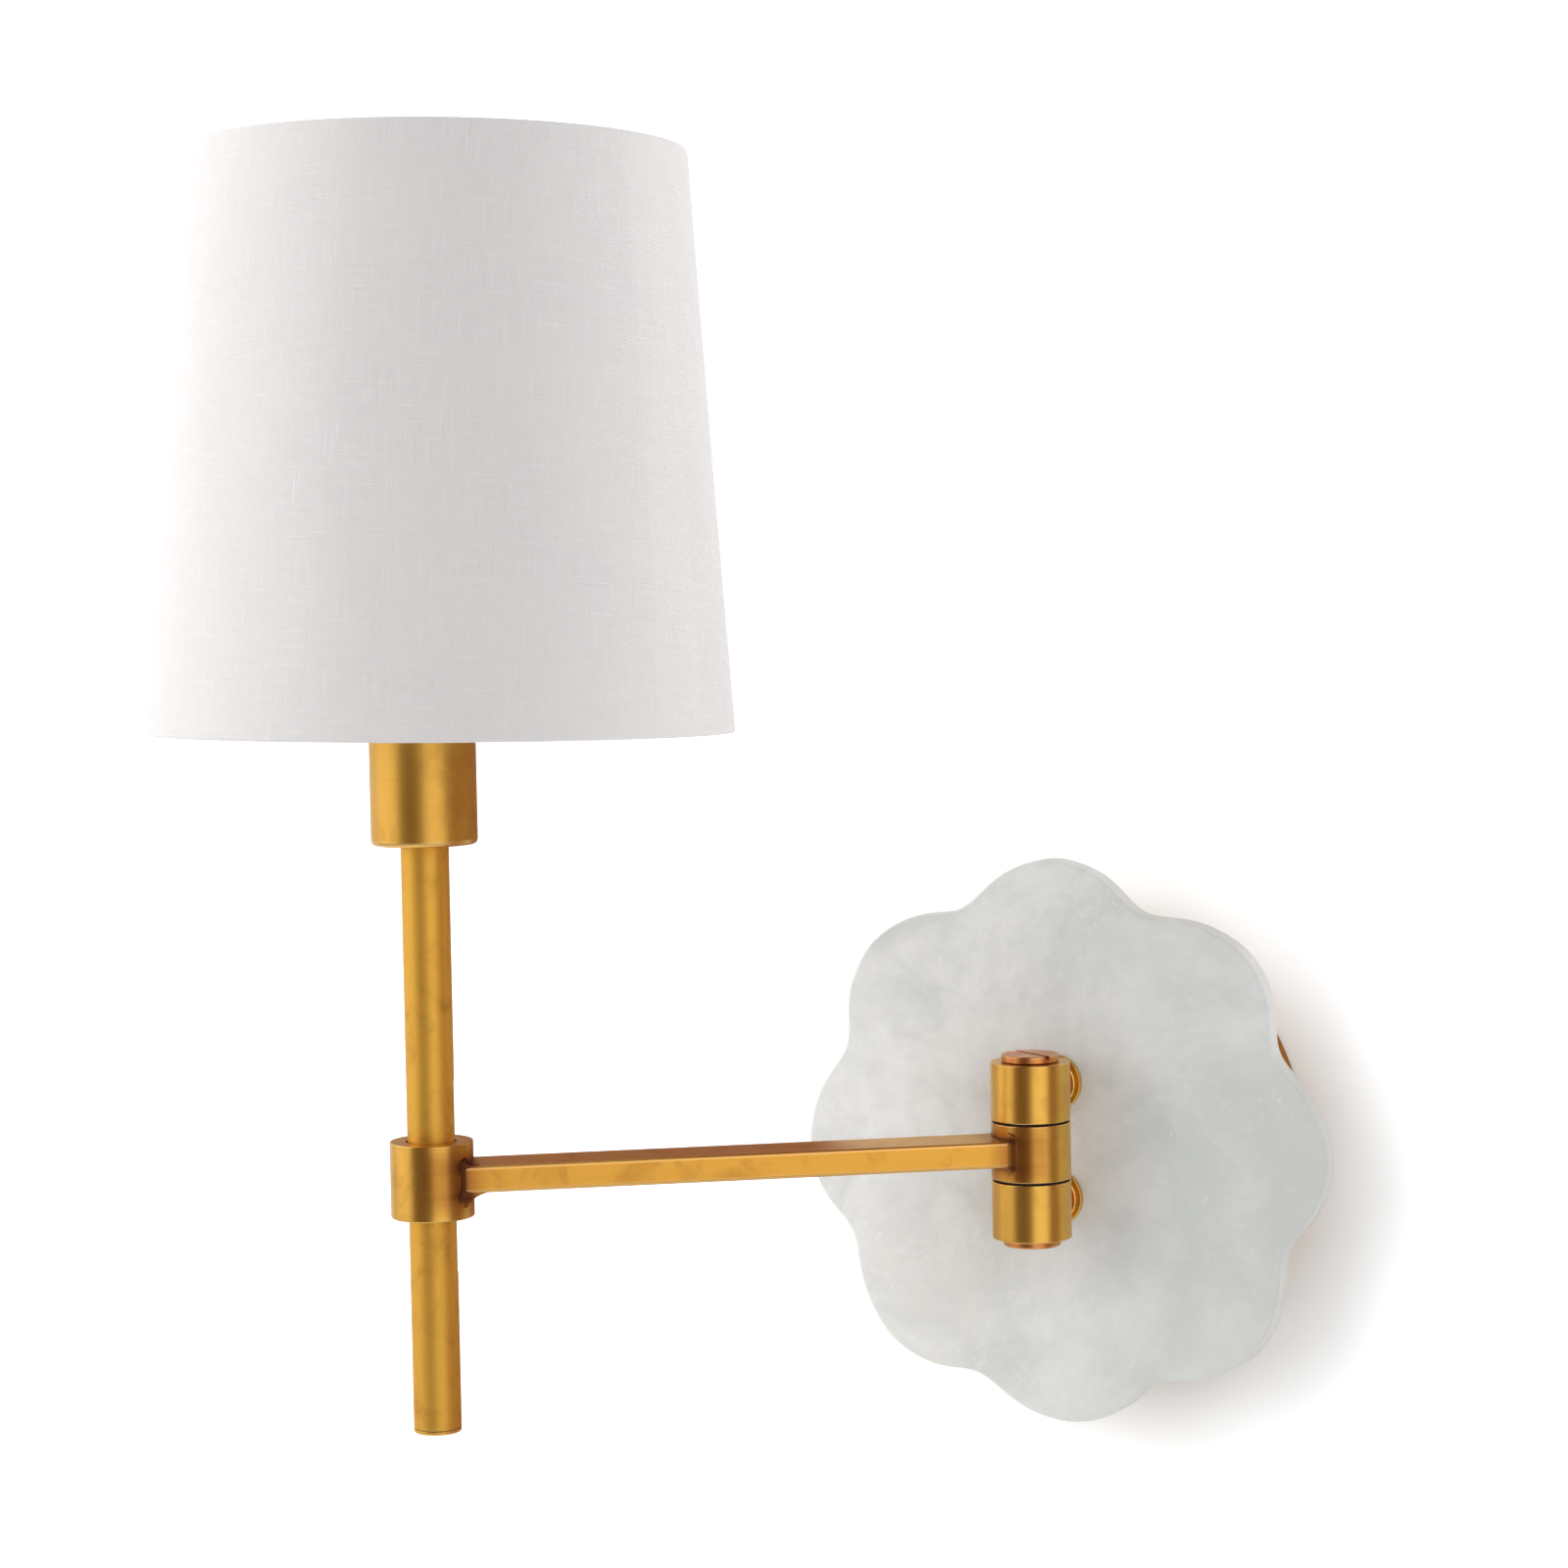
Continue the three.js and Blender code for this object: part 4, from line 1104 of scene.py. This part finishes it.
KEPT_NODES = {
    "steel": "wall_crossbar hinge_pin upper_post_washer lower_post_washer upper_post_nut lower_post_nut"
    " stem_top_bushing threaded_nipple cup_lock_nut",
    "green": "ground_screw",
    "nylon": "thrust_washer_upper thrust_washer_lower bush_upper bush_lower",
    "felt": "felt_pad",
    "shell": "centre_contact",
    "wire": "fitter_hub fitter_spoke_1 fitter_spoke_2 fitter_spoke_3",
}


def dress_hardware():
    for key, names in KEPT_NODES.items():
        for name in names.split():
            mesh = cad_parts[name].data
            mesh.materials.clear()
            mesh.materials.append(material(key))


# --- stage

CAMERA_PLACE = (0.4569, -1.0650, 0.1877)
CAMERA_TURN, CAMERA_TILT, CAMERA_ROLL = (math.radians(a) for a in (28.06, 3.58, -0.949))
LIGHTS_AIM = (-0.05, -0.08, 0.1)
LEFT, HIGH_LEFT, RIGHT = (-1.3, -0.95, 0.5), (-1.3, -0.95, 0.9), (1.07, -0.92, 0.3)
# Name, place, width, height, radiance, and whether metal mirrors it.
LIGHTS = (
    ("Left light", LEFT, 2.0, 1.9, 1.12, True),
    ("Left fill", HIGH_LEFT, 1.1, 1.1, 3.6, False),
    ("Right light", RIGHT, 1.3, 1.6, 1.1, True),
    ("Right fill", RIGHT, 1.3, 1.6, 0.45, False),
)
REACH, CEILING_Z, FLOOR_Z, WALL_Y = 4.0, 2.6, -1.1, 1 * MM
# Painted shadow: the wall glows less round this point beside the plate.
WALL_SHADOW_MIDDLE = (0.02, 0, -0.02)  # of the wall's dimmer patch


def stand(name, data, right, up, back, place):
    """Puts a camera or light in the scene by its own three axes and its place."""
    matrix = np.eye(4)
    matrix[:3] = np.column_stack([right, up, back, place])
    made = add_object(name, data)
    made.matrix_world = Matrix(matrix.tolist())
    return made


def make_camera():
    data = bpy.data.cameras.new("Camera")
    data.lens, data.sensor_width, data.clip_start, data.clip_end = 81.0, 36.0, 0.05, 30
    flat = math.cos(CAMERA_TILT)
    ahead = np.array([-math.sin(CAMERA_TURN) * flat, math.cos(CAMERA_TURN) * flat, -math.sin(CAMERA_TILT)])
    right = np.array([math.cos(CAMERA_TURN), math.sin(CAMERA_TURN), 0])
    up = np.cross(right, ahead)
    c, s = math.cos(CAMERA_ROLL), math.sin(CAMERA_ROLL)
    camera = stand("Camera", data, c * right + s * up, c * up - s * right, -ahead, CAMERA_PLACE)
    bpy.context.scene.camera = camera


def make_light(name, place, width, height, radiance, mirrored):
    """A soft rectangular light of an even radiance, aimed at the sconce."""
    data = bpy.data.lights.new(name, "AREA")
    data.shape, data.size, data.size_y = "RECTANGLE", width, height
    data.energy = radiance * math.pi * width * height
    back = np.subtract(place, LIGHTS_AIM)
    back /= np.linalg.norm(back)
    right = np.cross((0, 0, 1), back)
    right /= np.linalg.norm(right)
    stand(name, data, right, np.cross(back, right), back, place).visible_glossy = mirrored


def backdrop_plane(name, corners, paint):
    mesh = bpy.data.meshes.new(name)
    mesh.from_pydata(corners, [], [(0, 1, 2, 3)])
    mesh.materials.append(paint)
    add_object(name, mesh)


def paint(name):
    tint = rgba(colours().backdrop)
    return opened(name, Base_Color=tint, Roughness=0.9, Specular_IOR_Level=0.1, Emission_Color=(1, 1, 1, 1))


def wall_paint():
    """Plain pale paint that glows a little, less behind the plate, so that only the shadows near it show.

    It is seen only from its front, so that the sconce's back can be looked at. To glossy rays it shows a
    painted reflection instead: a pale glow on the left and a dim reddish one behind the sconce.
    """
    made, place, _ = paint("Wall paint")
    tree = made.node_tree
    shader = tree.nodes["Principled BSDF"]
    # Painted shadow: the glow is 0.06 near the plate and rises to 0.46 further out.
    aside = place.vector("SUBTRACT", WALL_SHADOW_MIDDLE).vector("MULTIPLY", (1, 0, 1))
    spread = aside.vector("LENGTH", (0, 0, 0), "Value")
    tree.links.new(spread.smooth(0.053, 0.107, 0.06, 0.46).socket, shader.inputs["Emission Strength"])
    # Painted reflection: what metal mirrors of the wall, pale on the left and dim reddish behind the sconce.
    tint = place.parts()[0].smooth(-0.45, -0.2).mix((0.95, 0.95, 0.95, 1), (0.36, 0.21, 0.17, 1))
    painted_reflection = place.node("Emission", {"Color": tint})
    mirrored = place.node("LightPath", (), "Is Glossy Ray")
    front = place.node("MixShader", [mirrored, Value(shader.outputs[0]), painted_reflection])
    behind = place.node("NewGeometry", (), "Backfacing")
    mixed = place.node("MixShader", [behind, front, place.node("BsdfTransparent")])
    tree.links.new(mixed.socket, tree.nodes["Material Output"].inputs[0])
    return made


def make_stage():
    scene = bpy.context.scene
    scene.view_settings.view_transform = "Standard"
    make_camera()
    wall = [(x * REACH, WALL_Y, z) for x, z in ((-1, FLOOR_Z), (1, FLOOR_Z), (1, CEILING_Z), (-1, CEILING_Z))]
    floor = [(x * REACH, y * REACH, FLOOR_Z) for x, y in ((-1, -1), (1, -1), (1, 1), (-1, 1))]
    backdrop_plane("backdrop_wall", wall, wall_paint())
    backdrop_plane("floor", floor, paint("Floor paint")[0])
    scene.world = bpy.data.worlds.new("Studio")
    scene.world.use_nodes = True
    tree = scene.world.node_tree
    path = add(tree, "LightPath").outputs
    tint = Value(path["Is Glossy Ray"]).mix((0.32, 0.32, 0.32, 1), (0.12, 0.047, 0.036, 1))
    tint = Value(path["Is Camera Ray"]).mix(tint, (0.86, 0.86, 0.86, 1))
    tree.links.new(tint.socket, tree.nodes["Background"].inputs["Color"])
    for light in LIGHTS:
        make_light(*light)


# --- operators and panel


class SCONCE_OT_stage(bpy.types.Operator):
    """Camera, backdrop and studio lights"""

    bl_idname = "sconce.stage"
    bl_label = "Make Stage"

    def execute(self, context):
        make_stage()
        return {"FINISHED"}


class SCONCE_OT_wall_plate(bpy.types.Operator):
    """Canopy, stone plate, posts and rosettes"""

    bl_idname = "sconce.wall_plate"
    bl_label = "Make Wall Plate"

    def execute(self, context):
        make_canopy()
        make_slab()
        make_posts()
        return {"FINISHED"}


class SCONCE_OT_barrel(bpy.types.Operator):
    """Three knuckles and two caps"""

    bl_idname = "sconce.barrel"
    bl_label = "Make Hinge Barrel"

    def execute(self, context):
        make_barrel()
        return {"FINISHED"}


class SCONCE_OT_arm(bpy.types.Operator):
    """Flat arm, brazed joints and collar"""

    bl_idname = "sconce.arm"
    bl_label = "Make Arm"

    def execute(self, context):
        make_arm()
        return {"FINISHED"}


class SCONCE_OT_stem(bpy.types.Operator):
    """Stem tube with its wire slot and end plug"""

    bl_idname = "sconce.stem"
    bl_label = "Make Stem"

    def execute(self, context):
        make_stem()
        return {"FINISHED"}


class SCONCE_OT_cup(bpy.types.Operator):
    """Socket cup, porcelain socket and clamp ring"""

    bl_idname = "sconce.cup"
    bl_label = "Make Cup and Socket"

    def execute(self, context):
        make_cup()
        make_socket()
        return {"FINISHED"}


class SCONCE_OT_bulb(bpy.types.Operator):
    """Opal bulb with its screw cap"""

    bl_idname = "sconce.bulb"
    bl_label = "Make Bulb"

    def execute(self, context):
        make_bulb()
        return {"FINISHED"}


class SCONCE_OT_shade(bpy.types.Operator):
    """Linen shade with its lining and wires"""

    bl_idname = "sconce.shade"
    bl_label = "Make Shade"

    def execute(self, context):
        make_shade()
        return {"FINISHED"}


class SCONCE_OT_hardware(bpy.types.Operator):
    """Finishes of the hidden hardware"""

    bl_idname = "sconce.hardware"
    bl_label = "Dress Hardware"

    def execute(self, context):
        dress_hardware()
        return {"FINISHED"}


OPERATORS = [
    SCONCE_OT_stage, SCONCE_OT_wall_plate, SCONCE_OT_barrel, SCONCE_OT_arm, SCONCE_OT_stem,
    SCONCE_OT_cup, SCONCE_OT_bulb, SCONCE_OT_shade, SCONCE_OT_hardware,
]


class SCONCE_PT_panel(bpy.types.Panel):
    """Sizes, colours and the steps that build the sconce"""

    bl_idname = "SCONCE_PT_panel"
    bl_label = "Wall Sconce"
    bl_space_type = "VIEW_3D"
    bl_region_type = "UI"
    bl_category = "Sconce"

    def draw(self, context):
        for group in (context.scene.sconce_sizes, context.scene.sconce_colours):
            box = self.layout.box()
            for name in group.__annotations__:
                box.prop(group, name)
        for item in OPERATORS:
            self.layout.operator(item.bl_idname)


CLASSES = [SconceSizes, SconceColours, *OPERATORS, SCONCE_PT_panel]


def register():
    for item in CLASSES:
        bpy.utils.register_class(item)
    bpy.types.Scene.sconce_sizes = bpy.props.PointerProperty(type=SconceSizes)
    bpy.types.Scene.sconce_colours = bpy.props.PointerProperty(type=SconceColours)


def unregister():
    del bpy.types.Scene.sconce_sizes
    del bpy.types.Scene.sconce_colours
    for item in reversed(CLASSES):
        bpy.utils.unregister_class(item)


def main():
    register()
    bpy.ops.sconce.stage()
    bpy.ops.sconce.wall_plate()
    bpy.ops.sconce.barrel()
    bpy.ops.sconce.arm()
    bpy.ops.sconce.stem()
    bpy.ops.sconce.cup()
    bpy.ops.sconce.bulb()
    bpy.ops.sconce.shade()
    bpy.ops.sconce.hardware()


if __name__ == "__main__":
    main()
